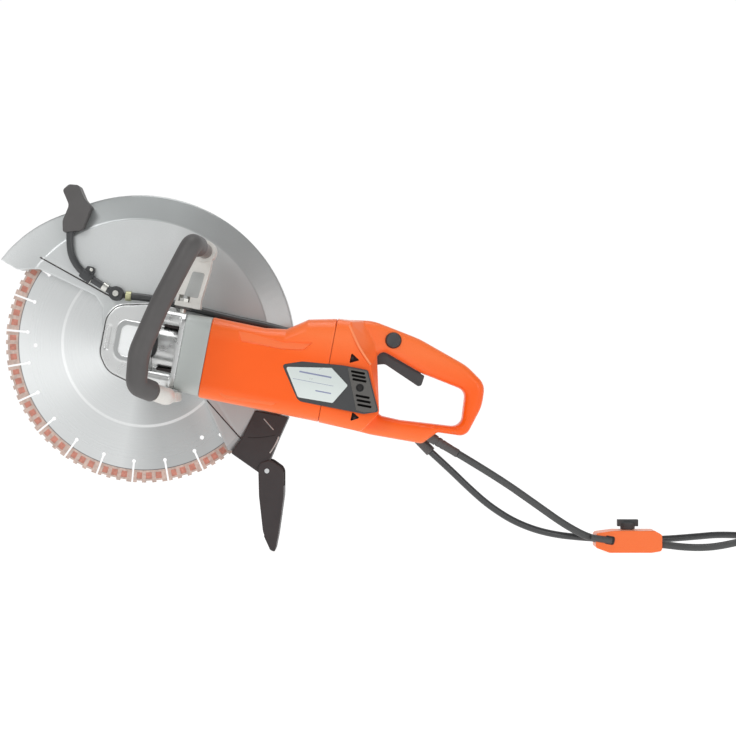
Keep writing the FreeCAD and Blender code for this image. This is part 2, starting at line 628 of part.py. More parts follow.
HANDLE_SCREWS_AT = [(260, 30), (276, -41), (322, -44), (414, -12), (392, 34), (262, 64)]
RELIEF_START = (352.0, -39.5)
RELIEF_INSIDE = 21.7           # length of the relief's plain part, up to the shell's lip
RELIEF_R = 6.4
RELIEF_GROOVE_AT = 7.0         # first of the four grooves, from the lip
RELIEF_GROOVE_PITCH = 6.0
RELIEF_GROOVE_W = 2.0
HOSE_GLAND = (346.0, -43.5)


def block_form(inset):
    """Rounded form of the handle's wide root, which narrows a little towards the rear."""
    front = body_section(SEAM_X, 49 - inset, -53 + inset, 73 - inset, 19 - inset)
    back = body_section(310, 44 - inset, -59 + inset, 66 - inset, 15 - inset)
    return Part.makeLoft([front, back], True, True)


def cord_gland():
    """Start and lip of the power cord's relief, in the blade frame."""
    start = body_point(*RELIEF_START, -3)
    along = (V(*POWER_ROUTE[0]) - start).normalize()
    return start, start + along * RELIEF_INSIDE


def hose_gland():
    """Start and end of the water hose's grommet, in the blade frame."""
    return body_point(*HOSE_GLAND, 7), V(*HOSE_ROUTE[0])


def make_rear_handle():
    loop = prism(LOOP_OUTLINE, -HANDLE_HALF_W, HANDLE_HALF_W)
    wide = prism(BLOCK_OUTLINE, -HOUSING_HALF_W, HOUSING_HALF_W).common(block_form(0))
    gap = prism(HAND_GAP, -60, 60)
    whole = loop.fuse(wide).cut(gap)

    inner_half = HANDLE_HALF_W - WALL
    channel = inset_prism(LOOP_OUTLINE, WALL, -inner_half, inner_half)
    channel = channel.cut(inset_prism(HAND_GAP, -WALL, -60, 60))
    room = inset_prism(BLOCK_OUTLINE, WALL, -HOUSING_HALF_W, HOUSING_HALF_W)
    room = room.common(block_form(COVER_T + WALL))
    throat = block((SEAM_X - 1, -38, -44), (SEAM_X + WALL + 1, 38, 58))
    hollow = channel.fuse(room).fuse(throat)
    bosses = []
    for x, z in HANDLE_SCREWS_AT:
        bosses.append(rod(4.6, V(x, -44, z), V(x, 44, z)))
    whole = whole.cut(hollow.cut(bosses))
    whole = whole.common(loop.fuse(wide))

    cuts = [prism(TRIGGER_SLOT, -TRIGGER_HALF_W - 0.7, TRIGGER_HALF_W + 0.7)]
    pin_at = V(TRIGGER_PIVOT[0], 0, TRIGGER_PIVOT[1])
    pin_end = ALONG_Y * TRIGGER_PIN_HALF
    cuts.append(rod(TRIGGER_PIN_R, pin_at - pin_end, pin_at + pin_end))
    lock_at = V(LOCK_AT[0], 0, LOCK_AT[1])
    cuts.append(rod(LOCK_R + 0.35, lock_at - ALONG_Y * 30, lock_at - ALONG_Y * 8))
    pocket_y = HOUSING_HALF_W - COVER_T - 0.9
    for side in (-1, 1):
        cuts.append(inset_prism(COVER_OUTLINE, -0.2, side * pocket_y, side * 60))
        cuts.append(prism([(262, -24, 3), (262, 14, 3), (278, 14, 3), (292, -24, 3)],
                          side * 30, side * 60))
    screws = []
    for x, z in HANDLE_SCREWS_AT:
        half = 43 if (x, z) in HANDLE_SCREWS_AT[:2] else HANDLE_HALF_W - 3
        cuts.append(rod(2.0, V(x, -half, z), V(x, half, z)))
        cuts.append(rod(4.2, V(x, half - 1, z), V(x, 60, z)))
        cuts.append(rod(4.2, V(x, -60, z), V(x, -half - 1.5, z)))
        screws.append(pan_screw(V(x, half - 1, z), V(0, -1, 0), 3.9, 2.0, 2 * half - 3))
    for cut in cuts:
        whole = whole.cut(cut)
    left_half = block((200, -80, -90), (460, 0, 110))
    bores = []
    for start, end in (cord_gland(), hose_gland()):
        bores.append(rod(RELIEF_R, start, end + (end - start)))
    keep("handle_shell_left", body_to_blade(whole.common(left_half)).cut(bores))
    keep("handle_shell_right", body_to_blade(whole.cut(left_half)).cut(bores))
    keep_body("handle_screws", *screws)


def make_controls():
    pivot = V(TRIGGER_PIVOT[0], 0, TRIGGER_PIVOT[1])
    pin_end = ALONG_Y * TRIGGER_PIN_HALF
    lever = prism(TRIGGER_OUTLINE, -TRIGGER_HALF_W, TRIGGER_HALF_W)
    bore = rod(TRIGGER_PIN_R + PIN_GAP, pivot - pin_end, pivot + pin_end)
    keep_body("trigger_lever", lever.cut(bore))
    keep_body("trigger_pin", rod(TRIGGER_PIN_R, pivot - pin_end, pivot + pin_end))
    lock = V(LOCK_AT[0], 0, LOCK_AT[1])
    button = rod(LOCK_R, lock - ALONG_Y * 23.5, lock - ALONG_Y * 13)
    dish = Part.makeSphere(40, lock - ALONG_Y * (23.5 + 39))
    keep_body("lock_button", button.cut(dish))
    switch = block((317, -9, 44.5), (349, 9, 58))
    terminals = [block((321 + 8 * i, -6, 58), (325 + 8 * i, 6, 60)) for i in range(3)]
    keep_body("power_switch", switch.fuse(terminals))
    board = block((238, -41, -26), (241, 41, 40))
    parts = [block((241, -24, -16), (254, -4, 10)), block((241, 2, -18), (252, 24, 4)),
             rod(7, V(241, 12, 18), V(256, 12, 18)), block((241, -22, 16), (247, -2, 28))]
    keep_body("electronics_module", board.fuse(parts))


def make_side_covers():
    plates = []
    for side, name in ((-1, "side_cover_left"), (1, "side_cover_right")):
        inner, outer = side * (HOUSING_HALF_W - COVER_T), side * (HOUSING_HALF_W + 0.5)
        cover = prism(COVER_OUTLINE, min(inner, outer), max(inner, outer))
        cuts = []
        for z in (14, 9, 4, -15, -20, -25):
            x0 = 262 + (14 - z) * 0.40
            low, high = z - GRILLE_SLOT / 2, z + GRILLE_SLOT / 2
            slot = [(x0, low, 0), (x0, high, 0), (x0 + 16, high, 0), (x0 + 16, low, 0)]
            cuts.append(prism(slot, side * 40, side * 60))
        dimple = V(277, side * 48.8, -5)
        cuts.append(rod(5.5, dimple, dimple + ALONG_Y * side * 10))
        keep_body(name, cover.cut(cuts))
        face = side * (HOUSING_HALF_W + 0.5)
        proud = face + side * 0.8
        plates.append(prism(PLATE_OUTLINE, min(face, proud), max(face, proud)))
    keep_body("name_plates", *plates)


# ---- front handle -------------------------------------------------------------------------
BRACKET_BOLT_X = 47.0
BRACKET_BOLT_Y = (-19.0, -5.0)
BRACKET_Y = (-26.0, 2.0)
CLAMP_AT = (83.0, 110.0)       # blade frame
LUG_AT = (44.0, -64.0)         # blade frame
LUG_END_Y = -90.0
SPIGOT_R = 7.0
PAD_T = 3.0
CLAMP_R = 13.2


def make_front_handle():
    top = V(CLAMP_AT[0], BRACKET_Y[1] - 4, CLAMP_AT[1])
    points = [top, V(CLAMP_AT[0], -85, CLAMP_AT[1]), V(77, GRIP_Y, 112), V(38, GRIP_Y, 37),
              V(16, GRIP_Y, -15), V(13.5, GRIP_Y, -51), V(LUG_AT[0], -106, LUG_AT[1]),
              V(LUG_AT[0], LUG_END_Y, LUG_AT[1])]
    radii = [0, 30, 22, 150, 60, 14, 12, 0]
    tube = swept(points, radii, HANDLE_TUBE_R)
    keep("front_handle_tube", tube.cut(swept(points, radii, SPIGOT_R)))
    grip_start = points[1] + (points[2] - points[1]) * 0.3
    grip_end = points[5] + (points[6] - points[5]) * 0.6
    covered = [grip_start] + points[2:6] + [grip_end]
    keep("front_handle_grip", swept(covered, [0] + radii[2:6] + [0], GRIP_R).cut(tube))

    foot_z = 50 + PAD_T
    arm = [(37, foot_z, 1), (37, foot_z + 13, 6), (48, 112, 8), (50, 120, 3), (71, 120, 3),
           (71, 100, 10), (67, foot_z + 10, 5), (68, foot_z, 1)]
    centre = V(CLAMP_AT[0], 0, CLAMP_AT[1])
    arm_solid = body_to_blade(prism(arm, BRACKET_Y[0] + 4, BRACKET_Y[1] - 4))
    near, far = V(0, BRACKET_Y[0], 0), V(0, BRACKET_Y[1], 0)
    clamp = rod(CLAMP_R, centre + near, centre + far)
    foot = [(37, foot_z, 1), (37, foot_z + 6, 2), (68, foot_z + 6, 2), (68, foot_z, 1)]
    foot_solid = body_to_blade(prism(foot, *BRACKET_Y))
    arm_solid = arm_solid.fuse([clamp, foot_solid])
    arm_solid = arm_solid.cut(rod(HANDLE_TUBE_R, centre + near, centre + V(0, BRACKET_Y[1] - 4, 0)))
    pad_points = [(38, 50, 1), (38, foot_z, 1), (56, foot_z, 1), (56, 50, 1)]
    pad = prism(pad_points, BRACKET_Y[0] + 1, BRACKET_Y[1] - 1)
    bolts = []
    holes = []
    for y in BRACKET_BOLT_Y:
        head = V(BRACKET_BOLT_X, y, foot_z + 6)
        bolts.append(body_to_blade(hexagon_bolt(head, V(0, 0, -1), 10, 3, 26, 4)))
        holes.append(rod(3.0, head, V(BRACKET_BOLT_X, y, 30)))
        holes.append(rod(7.4, head, head + ALONG_Z * 8))
    holes = Part.makeCompound(holes)
    arm_solid = arm_solid.cut(body_to_blade(holes))
    keep("upper_bracket", arm_solid)
    lower = [(34, -71.5, 3), (34, -57.5, 3), (55, -59.5, 3), (55, -71.5, 3)]
    lug = prism(lower, LUG_END_Y, -26)
    spigot_end = V(LUG_AT[0], LUG_END_Y, LUG_AT[1])
    lug = lug.fuse(rod(SPIGOT_R, spigot_end - ALONG_Y * 9, spigot_end))
    keep("lower_bracket", lug)
    keep("handle_pads", body_to_blade(pad.cut(holes)))
    keep("bracket_bolts", *bolts)


# ---- guard and water line -----------------------------------------------------------------
def guard_arc(radius, start_deg, end_deg, y):
    """Arc about the guard's own axis; angles go from +X towards +Z."""
    def at(degrees):
        angle = math.radians(degrees)
        return V(GUARD_AXIS[0] + radius * math.cos(angle), y, GUARD_AXIS[1] + radius * math.sin(angle))
    return at(start_deg), at((start_deg + end_deg) / 2), at(end_deg)


VISOR_LEAVES = 118.0           # where the rim runs out straight into the front visor
GUARD_ENDS = -41.0             # the rim's rear end
VISOR_TIP = (-182.0, 105.0)
VISOR_BULGE = (-148.8, 137.5)  # a point that the visor's curved top passes through
GUARD_LOWER_EDGE = [(-177, 102), (-159, 92), (-130, 92), (-60, 59), (-52, 46), (-52, 22),
                    (-36, -28), (10, -46), (52, -44), (76, -72), (105, -134)]
BEYOND_GUARD = [(-260, 60), (-260, -300), (300, -300), (300, -180)]


def guard_solid(inset, y0, y1):
    """The guard's full outer volume, or the same drawn in by inset."""
    start, middle, end = guard_arc(GUARD_R - inset, GUARD_ENDS, VISOR_LEAVES, y0)
    lower_edge = GUARD_LOWER_EDGE if inset == 0 else BEYOND_GUARD
    chain = [V(VISOR_TIP[0] + inset, y0, VISOR_TIP[1] - inset)]
    chain += [V(x, y0, z) for x, z in lower_edge]
    edges = [Part.Arc(start, middle, end).toShape()]
    bulge = V(VISOR_BULGE[0], y0, VISOR_BULGE[1]) - V(-0.7, 0, 0.7) * inset
    edges.append(Part.Arc(end, bulge, chain[0]).toShape())
    chain.append(start)
    for here, following in zip(chain, chain[1:]):
        edges.append(Part.LineSegment(here, following).toShape())
    solid = Part.Face(Part.Wire(edges)).extrude(V(0, y1 - y0, 0))
    slope = GUARD_BEVEL / (GUARD_R - GUARD_FLAT_R)
    reach = 60
    profile = [(GUARD_FLAT_R, y0 - 1), (GUARD_FLAT_R, y0)]
    profile += [(GUARD_FLAT_R + reach, y0 + slope * reach), (GUARD_FLAT_R + reach, y0 - 1)]
    centre = V(GUARD_AXIS[0], 0, GUARD_AXIS[1])
    return solid.cut(turned(profile, centre, ALONG_Y, ALONG_X))


CLAMP_RING_R = 46.0
CLAMP_RING_T = 3.0
GROOVE_DEPTH = 0.8
TEE_AT = (-33.0, 61.5)


def ring_screw_places():
    """The three screws of the clamp ring, as (x, z)."""
    angles = [math.radians(degrees) for degrees in (80, 200, 320)]
    return [(40 * math.cos(angle), 40 * math.sin(angle)) for angle in angles]


def make_guard():
    outer = guard_solid(0, GUARD_NEAR_Y, GUARD_FAR_Y)
    inner = guard_solid(GUARD_T, GUARD_NEAR_Y + GUARD_T, GUARD_FAR_Y - GUARD_T)
    window = [(-260, -300, 0), (-260, 66, 0), (-120, 66, 0), (-60, 90, 30), (60, 90, 60),
              (120, 20, 60), (110, -80, 20), (90, -300, 0)]
    cuts = [inner, prism(window, GUARD_FAR_Y - GUARD_T - 1, GUARD_FAR_Y + 1)]
    cuts.append(rod(GUARD_HUB_R, V(0, 40, 0), V(0, 70, 0)))
    near_face = GUARD_NEAR_Y
    for groove in ([(-128, 107, 0), (-126, 108, 0), (-45, 62, 0), (-46, 60, 0)],
                   [(89, -72, 0), (91, -72, 0), (122, -121, 0), (120, -122, 0)]):
        cuts.append(prism(groove, near_face - 1, near_face + GROOVE_DEPTH))
    for x, z in ring_screw_places():
        cuts.append(rod(2.0, V(x, 50, z), V(x, 56, z)))
    keep("blade_guard", outer.cut(cuts))

    plate_back = GUARD_NEAR_Y + GUARD_T
    ring_back = plate_back + CLAMP_RING_T
    clamp_ring = ring(CLAMP_RING_R, GUARD_HUB_R, V(0, plate_back, 0), V(0, ring_back, 0))
    screws = []
    for x, z in ring_screw_places():
        clamp_ring = clamp_ring.cut(rod(2.0, V(x, plate_back, z), V(x, ring_back, z)))
        screws.append(pan_screw(V(x, ring_back, z), V(0, -1, 0), 3.6, 2.0, 4.6))
    keep("guard_clamp_ring", clamp_ring)
    tee = V(TEE_AT[0], 38, TEE_AT[1])
    screws.append(pan_screw(tee, ALONG_Y, 3.6, 2.0, 13))
    keep("guard_screws", *screws)
    make_deflector(outer)
    make_nozzle(outer)


FLAP_PIVOT = (154.0, -159.0)
FLAP_PIN_R = 3.0
DEFLECTOR_Y = (49.5, 95.0)
FLAP_WALL = 2.5
FLAP_GAP = 0.5
DEFLECTOR_OUTLINE = [(139, -84, 2), (181, -92, 2), (168, -121, 30), (158, -145, 6), (146, -163, 4),
                     (109, -137, 2), (123, -118, 20)]
FLAP_OUTLINE = [(143, -150, 9), (158, -145, 9), (175, -157, 12), (175, -190, 60), (168, -240, 60),
                (164, -260, 2), (158, -257.5, 4), (149, -235, 30), (144, -190, 60)]


def make_deflector(guard_outer):
    y0, y1 = DEFLECTOR_Y
    pivot = V(FLAP_PIVOT[0], 0, FLAP_PIVOT[1])
    start, end = pivot + V(0, y0, 0), pivot + V(0, y1, 0)
    base = prism(DEFLECTOR_OUTLINE, y0, y1).fuse(rod(9.5, start, end))
    inner = inset_prism(DEFLECTOR_OUTLINE, 3, y0 + 3, y1 - 3)
    mouth = prism([(90, -150, 0), (90, -60, 0), (150, -60, 0), (160, -120, 0), (136, -152, 0)],
                  GUARD_NEAR_Y + 12, y1 - 3)
    base = base.cut(guard_outer).cut(mouth).cut(inner)
    sleeve = rod(7, start, end)
    base = base.fuse(sleeve).cut(rod(FLAP_PIN_R, start, end)).cut(guard_outer)
    keep("spray_deflector", largest_solid(base))
    low, high = y0 - FLAP_GAP - FLAP_WALL, y1 + FLAP_GAP + FLAP_WALL
    flap = prism(FLAP_OUTLINE, low, high)
    inside = [(120, -262, 0), (120, -130, 0), (190, -130, 0), (190, -172, 0), (172.3, -180, 4),
              (171, -200, 0), (165, -240, 0), (161, -262, 0)]
    flap = flap.cut(prism(inside, low + FLAP_WALL, high - FLAP_WALL))
    foot = [(150, -240, 0), (166, -240, 2), (164, -260, 2), (158, -257.5, 4)]
    flap = flap.fuse(prism(foot, low, high))
    start, end = pivot + V(0, low - 0.5, 0), pivot + V(0, high + 0.5, 0)
    keep("spray_flap", flap.cut(rod(FLAP_PIN_R + PIN_GAP, start, end)))
    keep("flap_pin", rod(FLAP_PIN_R, start, end))


BOOT_OUTLINE = [(-99, 190, 4), (-91, 197, 6), (-79, 196, 4), (-72, 179, 12), (-63, 169, 4),
                (-74, 140, 6), (-99, 137, 3), (-99, 152, 12), (-91, 171, 10)]
LINE_ROUTE = [(-90, 146), (-92, 122), (-86, 100), (-68, 81), (-38, 64)]


def make_nozzle(guard_outer):
    boot = prism(BOOT_OUTLINE, 39, 70).cut(guard_outer)
    hose_points = [V(x, LINE_Y, z) for x, z in LINE_ROUTE]
    line = swept(hose_points, natural_radii(hose_points), LINE_R)
    boot = boot.cut(line)
    keep("nozzle_boot", largest_solid(boot))
    front, back = V(TEE_AT[0], 38, TEE_AT[1]), V(TEE_AT[0], GUARD_NEAR_Y, TEE_AT[1])
    line = line.cut(rod(9, front, back))
    keep("guard_hose", line)
    spigot_end = V(-21.5, LINE_Y, 58.8)
    swivel = rod(9, front, back).fuse(rod(3.5, V(TEE_AT[0], LINE_Y, TEE_AT[1]), spigot_end))
    swivel = swivel.cut(rod(2.0, front, back))
    keep("water_tee", swivel.cut(line))
    clip_at = V(-66, LINE_Y, 79.5)
    along = V(0.83, 0, -0.56)
    band = rod(LINE_R + 1.4, clip_at - along * 3, clip_at + along * 3)
    first = V(-47, LINE_Y, 69.2)
    ferrule = rod(LINE_R + 1.2, first - along * 3.5, first + along * 3.5)
    keep("hose_clamps", band.cut(line), ferrule.cut(line))


SUPPLY_ROUTE = [(-20.0, 46.0, 58.5), (8, 46, 57), (50, 46, 46), (112, 46.5, 30), (160, 46, 20.6)]


def make_supply_hose():
    entry = body_point(LINE_ENTRY[0], LINE_ENTRY[2], LINE_ENTRY[1])
    points = [V(*point) for point in SUPPLY_ROUTE]
    points.append(entry + V(-4, 0.6, 0))
    points.append(entry + V(10, -1.4, -2))
    hose = swept(points, natural_radii(points), LINE_R)
    keep("supply_hose", hose)
    return hose


# ---- cords and what is on them ------------------------------------------------------------
CLIP_Y = 45.0
CLIP_CENTRE_Z = -245.0
POWER_ROUTE = [(389.0, -3.0, -135.2), (437, 4, -164), (484, 16, -197), (526, 29, -227),
               (561, 38, -244.5), (600, 38, -245.5), (642, 38, -249.5), (680, 33, -253.6),
               (716, 26, -251), (748, 22, -242)]
HOSE_ROUTE = [(356.5, 7.0, -133.5), (380, 11, -155), (404, 15, -178.5), (430, 22, -201.5),
              (464, 31, -223), (504, 42, -237), (552, 52, -243), (602, 52, -245),
              (645, 57, -245), (690, 71, -243), (724, 83, -241), (748, 92, -243)]
PLUG_LENGTH = 46.0


def free_cord(name, route, radius):
    """A cord's tube along its route."""
    points = [V(*point) for point in route]
    solid = swept(points, natural_radii(points), radius)
    keep(name, solid)
    return solid


def make_cords():
    start, lip = cord_gland()
    along = (lip - start).normalize()
    across = along.cross(ALONG_Y).normalize()
    reach = (V(*POWER_ROUTE[0]) - lip).Length
    profile = [(CORD_R, -RELIEF_INSIDE), (RELIEF_R, -RELIEF_INSIDE), (RELIEF_R, 0)]
    for index in range(4):
        groove_start = RELIEF_GROOVE_AT + RELIEF_GROOVE_PITCH * index
        groove_end = groove_start + RELIEF_GROOVE_W
        profile.append((RELIEF_R - 0.05 * groove_start, groove_start))
        profile.append((CORD_R + 0.7, groove_start))
        profile.append((CORD_R + 0.7, groove_end))
        profile.append((RELIEF_R - 0.05 * groove_end, groove_end))
    profile += [(CORD_R + 0.8, reach), (CORD_R, reach)]
    boot = turned(profile, lip, along, across)
    gland = ring(RELIEF_R, HOSE_R, *hose_gland())
    keep("strain_reliefs", boot, gland)
    power = free_cord("power_cord", POWER_ROUTE, CORD_R)
    hose = free_cord("water_hose", HOSE_ROUTE, HOSE_R)

    low, high = FLOOR_Z, CLIP_CENTRE_Z + 13
    shape = [(561, CLIP_CENTRE_Z - 8, 3), (561, high - 3, 4), (576, high - 1, 10), (584, high, 3),
             (634, high, 4), (643, high - 5, 4), (643, CLIP_CENTRE_Z - 12, 4), (630, low, 6),
             (578, low, 8)]
    clip = prism(shape, CLIP_Y - 17, CLIP_Y + 17)
    keep("cord_clip", clip.cut(power).cut(hose))
    knob_base = V(603, CLIP_Y + 6, high)
    knob = rod(9, knob_base + V(0, 0, 0.4), knob_base + V(0, 0, 9))
    bar = block((590, CLIP_Y + 2, high + 4), (616, CLIP_Y + 10, high + 12.5))
    keep("tap_knob", knob.fuse(bar))
    make_plug(power)
    make_connector(hose)


def make_plug(cord):
    """Round two-pin plug with its sleeve, lying on the floor."""
    start = V(*POWER_ROUTE[-1])
    plug_r = start.z - FLOOR_Z
    length = PLUG_LENGTH
    profile = [(0, 0), (CORD_R + 2, 0), (CORD_R + 3, 10), (12, 16), (plug_r, 22), (plug_r, length)]
    profile += [(0, length)]
    body = turned(profile, start, ALONG_X, ALONG_Y)
    pins = []
    for side in (-1, 1):
        base = start + V(length, side * 9.5, 0)
        pins.append(rod(2.4, base - ALONG_X * 6, base + ALONG_X * 19))
    keep("power_plug", body.fuse(pins).cut(cord))


def make_connector(hose):
    """Hose quick coupling with a plain nipple, lying on the floor."""
    start = V(*HOSE_ROUTE[-1])
    outer = start.z - FLOOR_Z
    profile = [(0, 0), (HOSE_R + 2, 0), (HOSE_R + 3, 10), (outer - 3, 12), (outer, 15)]
    profile += [(outer, 27), (outer - 3, 30), (8.5, 31), (8.5, 52), (5, 52), (5, 30), (0, 30)]
    keep("hose_connector", turned(profile, start, ALONG_X, ALONG_Y).cut(hose))


# ---- the whole saw ------------------------------------------------------------------------
CORD_NODES = ("strain_reliefs", "power_cord", "water_hose", "cord_clip", "tap_knob",
              "power_plug", "hose_connector")


def build():
    make_gears()
    make_spindle()
    make_blade()
    make_gear_housing()
    make_bearings()
    make_collar()
    make_armature()
    make_stator()
    make_brushes()
    make_motor_housing()
    make_rear_handle()
    make_controls()
    make_side_covers()
    make_front_handle()
    make_guard()
    make_cords()


def export():
    os.makedirs("parts", exist_ok=True)
    box = FreeCAD.BoundBox()
    for name, solids in PARTS.items():
        shape = solids[0] if len(solids) == 1 else Part.makeCompound(solids)
        shape = shape.copy()
        shape.translate(PLACE)
        if not shape.isValid():
            print("INVALID", name)
        if name not in CORD_NODES:
            box.add(shape.BoundBox)
        shape.exportStep("parts/" + name + ".step")
    print(len(PARTS), "nodes; box without cords:", box)


build()
export()
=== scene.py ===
"""Looks of an electric concrete cut-off saw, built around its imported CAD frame.

Sizes are in millimetres in two working frames, as in the CAD:
- BLADE: X towards the rear handle, Y along the spindle, Z up, origin where the two axes meet;
- BODY: the same turned about Y, so that its X runs along the motor.
"""
import json
import math

import bmesh
import bpy
from mathutils import Matrix, Vector

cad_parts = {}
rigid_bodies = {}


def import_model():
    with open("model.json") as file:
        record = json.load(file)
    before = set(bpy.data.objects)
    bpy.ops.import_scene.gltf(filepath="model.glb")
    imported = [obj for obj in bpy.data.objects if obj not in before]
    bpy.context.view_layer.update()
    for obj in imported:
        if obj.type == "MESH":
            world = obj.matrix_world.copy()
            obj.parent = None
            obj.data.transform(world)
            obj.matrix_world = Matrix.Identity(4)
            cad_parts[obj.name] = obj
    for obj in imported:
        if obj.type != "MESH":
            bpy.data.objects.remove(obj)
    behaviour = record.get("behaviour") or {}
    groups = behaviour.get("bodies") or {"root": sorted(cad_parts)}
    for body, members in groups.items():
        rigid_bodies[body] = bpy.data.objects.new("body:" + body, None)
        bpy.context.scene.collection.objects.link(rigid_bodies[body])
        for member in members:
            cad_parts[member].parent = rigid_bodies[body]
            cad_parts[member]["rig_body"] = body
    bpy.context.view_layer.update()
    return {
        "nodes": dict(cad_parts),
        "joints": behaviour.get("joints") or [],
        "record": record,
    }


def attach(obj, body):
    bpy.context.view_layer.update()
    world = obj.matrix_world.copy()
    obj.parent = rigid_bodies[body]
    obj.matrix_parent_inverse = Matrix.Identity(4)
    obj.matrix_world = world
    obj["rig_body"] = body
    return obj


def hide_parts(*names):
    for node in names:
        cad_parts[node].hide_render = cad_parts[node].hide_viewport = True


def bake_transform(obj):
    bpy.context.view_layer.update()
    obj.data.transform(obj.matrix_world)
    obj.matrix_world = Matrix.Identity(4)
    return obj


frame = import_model()
NODES = frame["nodes"]
SLOTS = {entry["node"]: entry["material_slot"] for entry in frame["record"]["subparts"]}

MM = 0.001
BLADE_Y = 72.0                 # middle plane of the blade
BLADE_R = 175.0
GUARD_AXIS = (-6.5, -9.0)      # centre of the guard's rim, in the BLADE frame
GUARD_BAND_R = 0.1622          # where its bevelled band starts, in metres
GRIP_R = 12.4
CORD_R = 4.5
HOSE_R = 4.25


def joint(name):
    return next(entry for entry in frame["joints"] if entry["name"] == name)


SPIN_AT = joint("blade_spin")["pos_m"]
MOTOR_AXIS = joint("armature_spin")["axis"]
ORIGIN = Vector((SPIN_AT[0], SPIN_AT[1] - BLADE_Y * MM, SPIN_AT[2]))
TILT = math.atan2(-MOTOR_AXIS[2], MOTOR_AXIS[0])
BLADE = Matrix.Translation(ORIGIN) @ Matrix.Scale(MM, 4)
BODY = BLADE @ Matrix.Rotation(TILT, 4, "Y")


# ---- outlines and solid forms ----
def outline(corners, inset=0.0, steps=6):
    """Closed (x, z) points along (x, z, radius) corners, drawn in by inset."""
    count = len(corners)
    area = 0.0
    for index in range(count):
        x0, z0, _ = corners[index - 1]
        x1, z1, _ = corners[index]
        area += x0 * z1 - x1 * z0
    points = []
    for index in range(count):
        here = Vector(corners[index][:2])
        back = (Vector(corners[index - 1][:2]) - here).normalized()
        ahead = (Vector(corners[(index + 1) % count][:2]) - here).normalized()
        half = back.angle(ahead) / 2
        middle = (back + ahead).normalized()
        convex = (ahead.x * back.y - ahead.y * back.x) * area > 0
        side = 1 if convex else -1
        radius = max(corners[index][2] - side * inset, 0.05)
        corner = here + middle * (side * inset / math.sin(half))
        centre = corner + middle * (radius / math.sin(half))
        start = corner + back * (radius / math.tan(half)) - centre
        end = corner + ahead * (radius / math.tan(half)) - centre
        turn = start.angle_signed(end)
        for step in range(steps + 1):
            arm = start.copy()
            arm.rotate(Matrix.Rotation(-turn * step / steps, 2))
            points.append(centre + arm)
    return points


def rim_layers(low, high, edge, steps=5):
    """(height, inset) pairs of a plate whose two rims are rounded by edge."""
    layers = []
    for step in range(steps + 1):
        angle = math.pi / 2 * step / steps
        layers.append((low + edge - edge * math.cos(angle), edge - edge * math.sin(angle)))
    return layers + [(low + high - height, inset) for height, inset in reversed(layers)]


def new_object(name, data):
    made = bpy.data.objects.new(name, data)
    bpy.context.scene.collection.objects.link(made)
    return made


def object_of(name, mesh):
    """Object from a bmesh, which is used up."""
    data = bpy.data.meshes.new(name)
    mesh.to_mesh(data)
    mesh.free()
    return new_object(name, data)


def new_piece(name, mesh, matrix):
    """Object from a bmesh in one of the working frames, with its faces turned outwards."""
    bmesh.ops.remove_doubles(mesh, verts=mesh.verts, dist=1e-4)
    bmesh.ops.recalc_face_normals(mesh, faces=mesh.faces)
    mesh.transform(matrix)
    return object_of(name, mesh)


def bridge(mesh, ring, following):
    count = len(ring)
    for index in range(count):
        beside = (index + 1) % count
        mesh.faces.new((ring[index], ring[beside], following[beside], following[index]))


def plate(name, corners, y0, y1, edge=1.0, matrix=BODY, holes=()):
    """Prism between two Y planes with rounded rims, and through holes with rounded rims too."""
    mesh = bmesh.new()
    first, last = [], []
    for corner_list, way in [(corners, 1)] + [(hole, -1) for hole in holes]:
        rings = []
        for y, inset in rim_layers(y0, y1, edge):
            points = outline(corner_list, way * inset)
            rings.append([mesh.verts.new((point.x, y, point.y)) for point in points])
        for ring, following in zip(rings, rings[1:]):
            bridge(mesh, ring, following)
        first.append(rings[0])
        last.append(rings[-1])
    for rims in (first, last):
        if len(rims) == 1:
            mesh.faces.new(rims[0])
            continue
        edges = []
        for ring in rims:
            for index in range(len(ring)):
                edges.append(mesh.edges.get((ring[index - 1], ring[index])))
        bmesh.ops.triangle_fill(mesh, edges=edges, use_beauty=True)
    return new_piece(name, mesh, matrix)


def closed_form(name, mesh, rings, matrix):
    """Piece whose skin runs from ring to ring, with a face over each end."""
    for ring, following in zip(rings, rings[1:]):
        bridge(mesh, ring, following)
    mesh.faces.new(rings[0])
    mesh.faces.new(rings[-1])
    return new_piece(name, mesh, matrix)


def loft(name, sections, matrix=BODY):
    """Closed form through sections, each a list of points."""
    mesh = bmesh.new()
    rings = [[mesh.verts.new(point) for point in points] for points in sections]
    return closed_form(name, mesh, rings, matrix)


def circle(mesh, centre, side, across, radius, steps):
    """Ring of new points around a centre, in the plane of two directions."""
    ring = []
    for step in range(steps):
        angle = 2 * math.pi * step / steps
        arm = side * math.cos(angle) + across * math.sin(angle)
        ring.append(mesh.verts.new(centre + arm * radius))
    return ring


def section(x, half_width, low, high, radius, steps=7):
    """Rounded rectangle across the motor axis."""
    corners = [(-half_width, low, radius), (half_width, low, radius),
               (half_width, high, radius), (-half_width, high, radius)]
    return [(x, point.x, point.y) for point in outline(corners, 0.0, steps)]


def turned(name, profile, start, along, matrix=BLADE, steps=48):
    """Lathe form; profile is (radius, distance) pairs and closes on the axis."""
    axis = Vector(along).normalized()
    side = axis.orthogonal().normalized()
    across = axis.cross(side)
    mesh = bmesh.new()
    rings = []
    for radius, distance in profile:
        centre = Vector(start) + axis * distance
        rings.append(circle(mesh, centre, side, across, max(radius, 0.01), steps))
    return closed_form(name, mesh, rings, matrix)


def rod(name, radius, start, end, matrix=BODY, edge=0.0):
    """Round bar, with its rims rounded by edge."""
    length = (Vector(end) - Vector(start)).length
    profile = [(radius, 0), (radius, length)]
    if edge:
        profile = [(radius - inset, height) for height, inset in rim_layers(0, length, edge)]
    return turned(name, profile, start, Vector(end) - Vector(start), matrix)


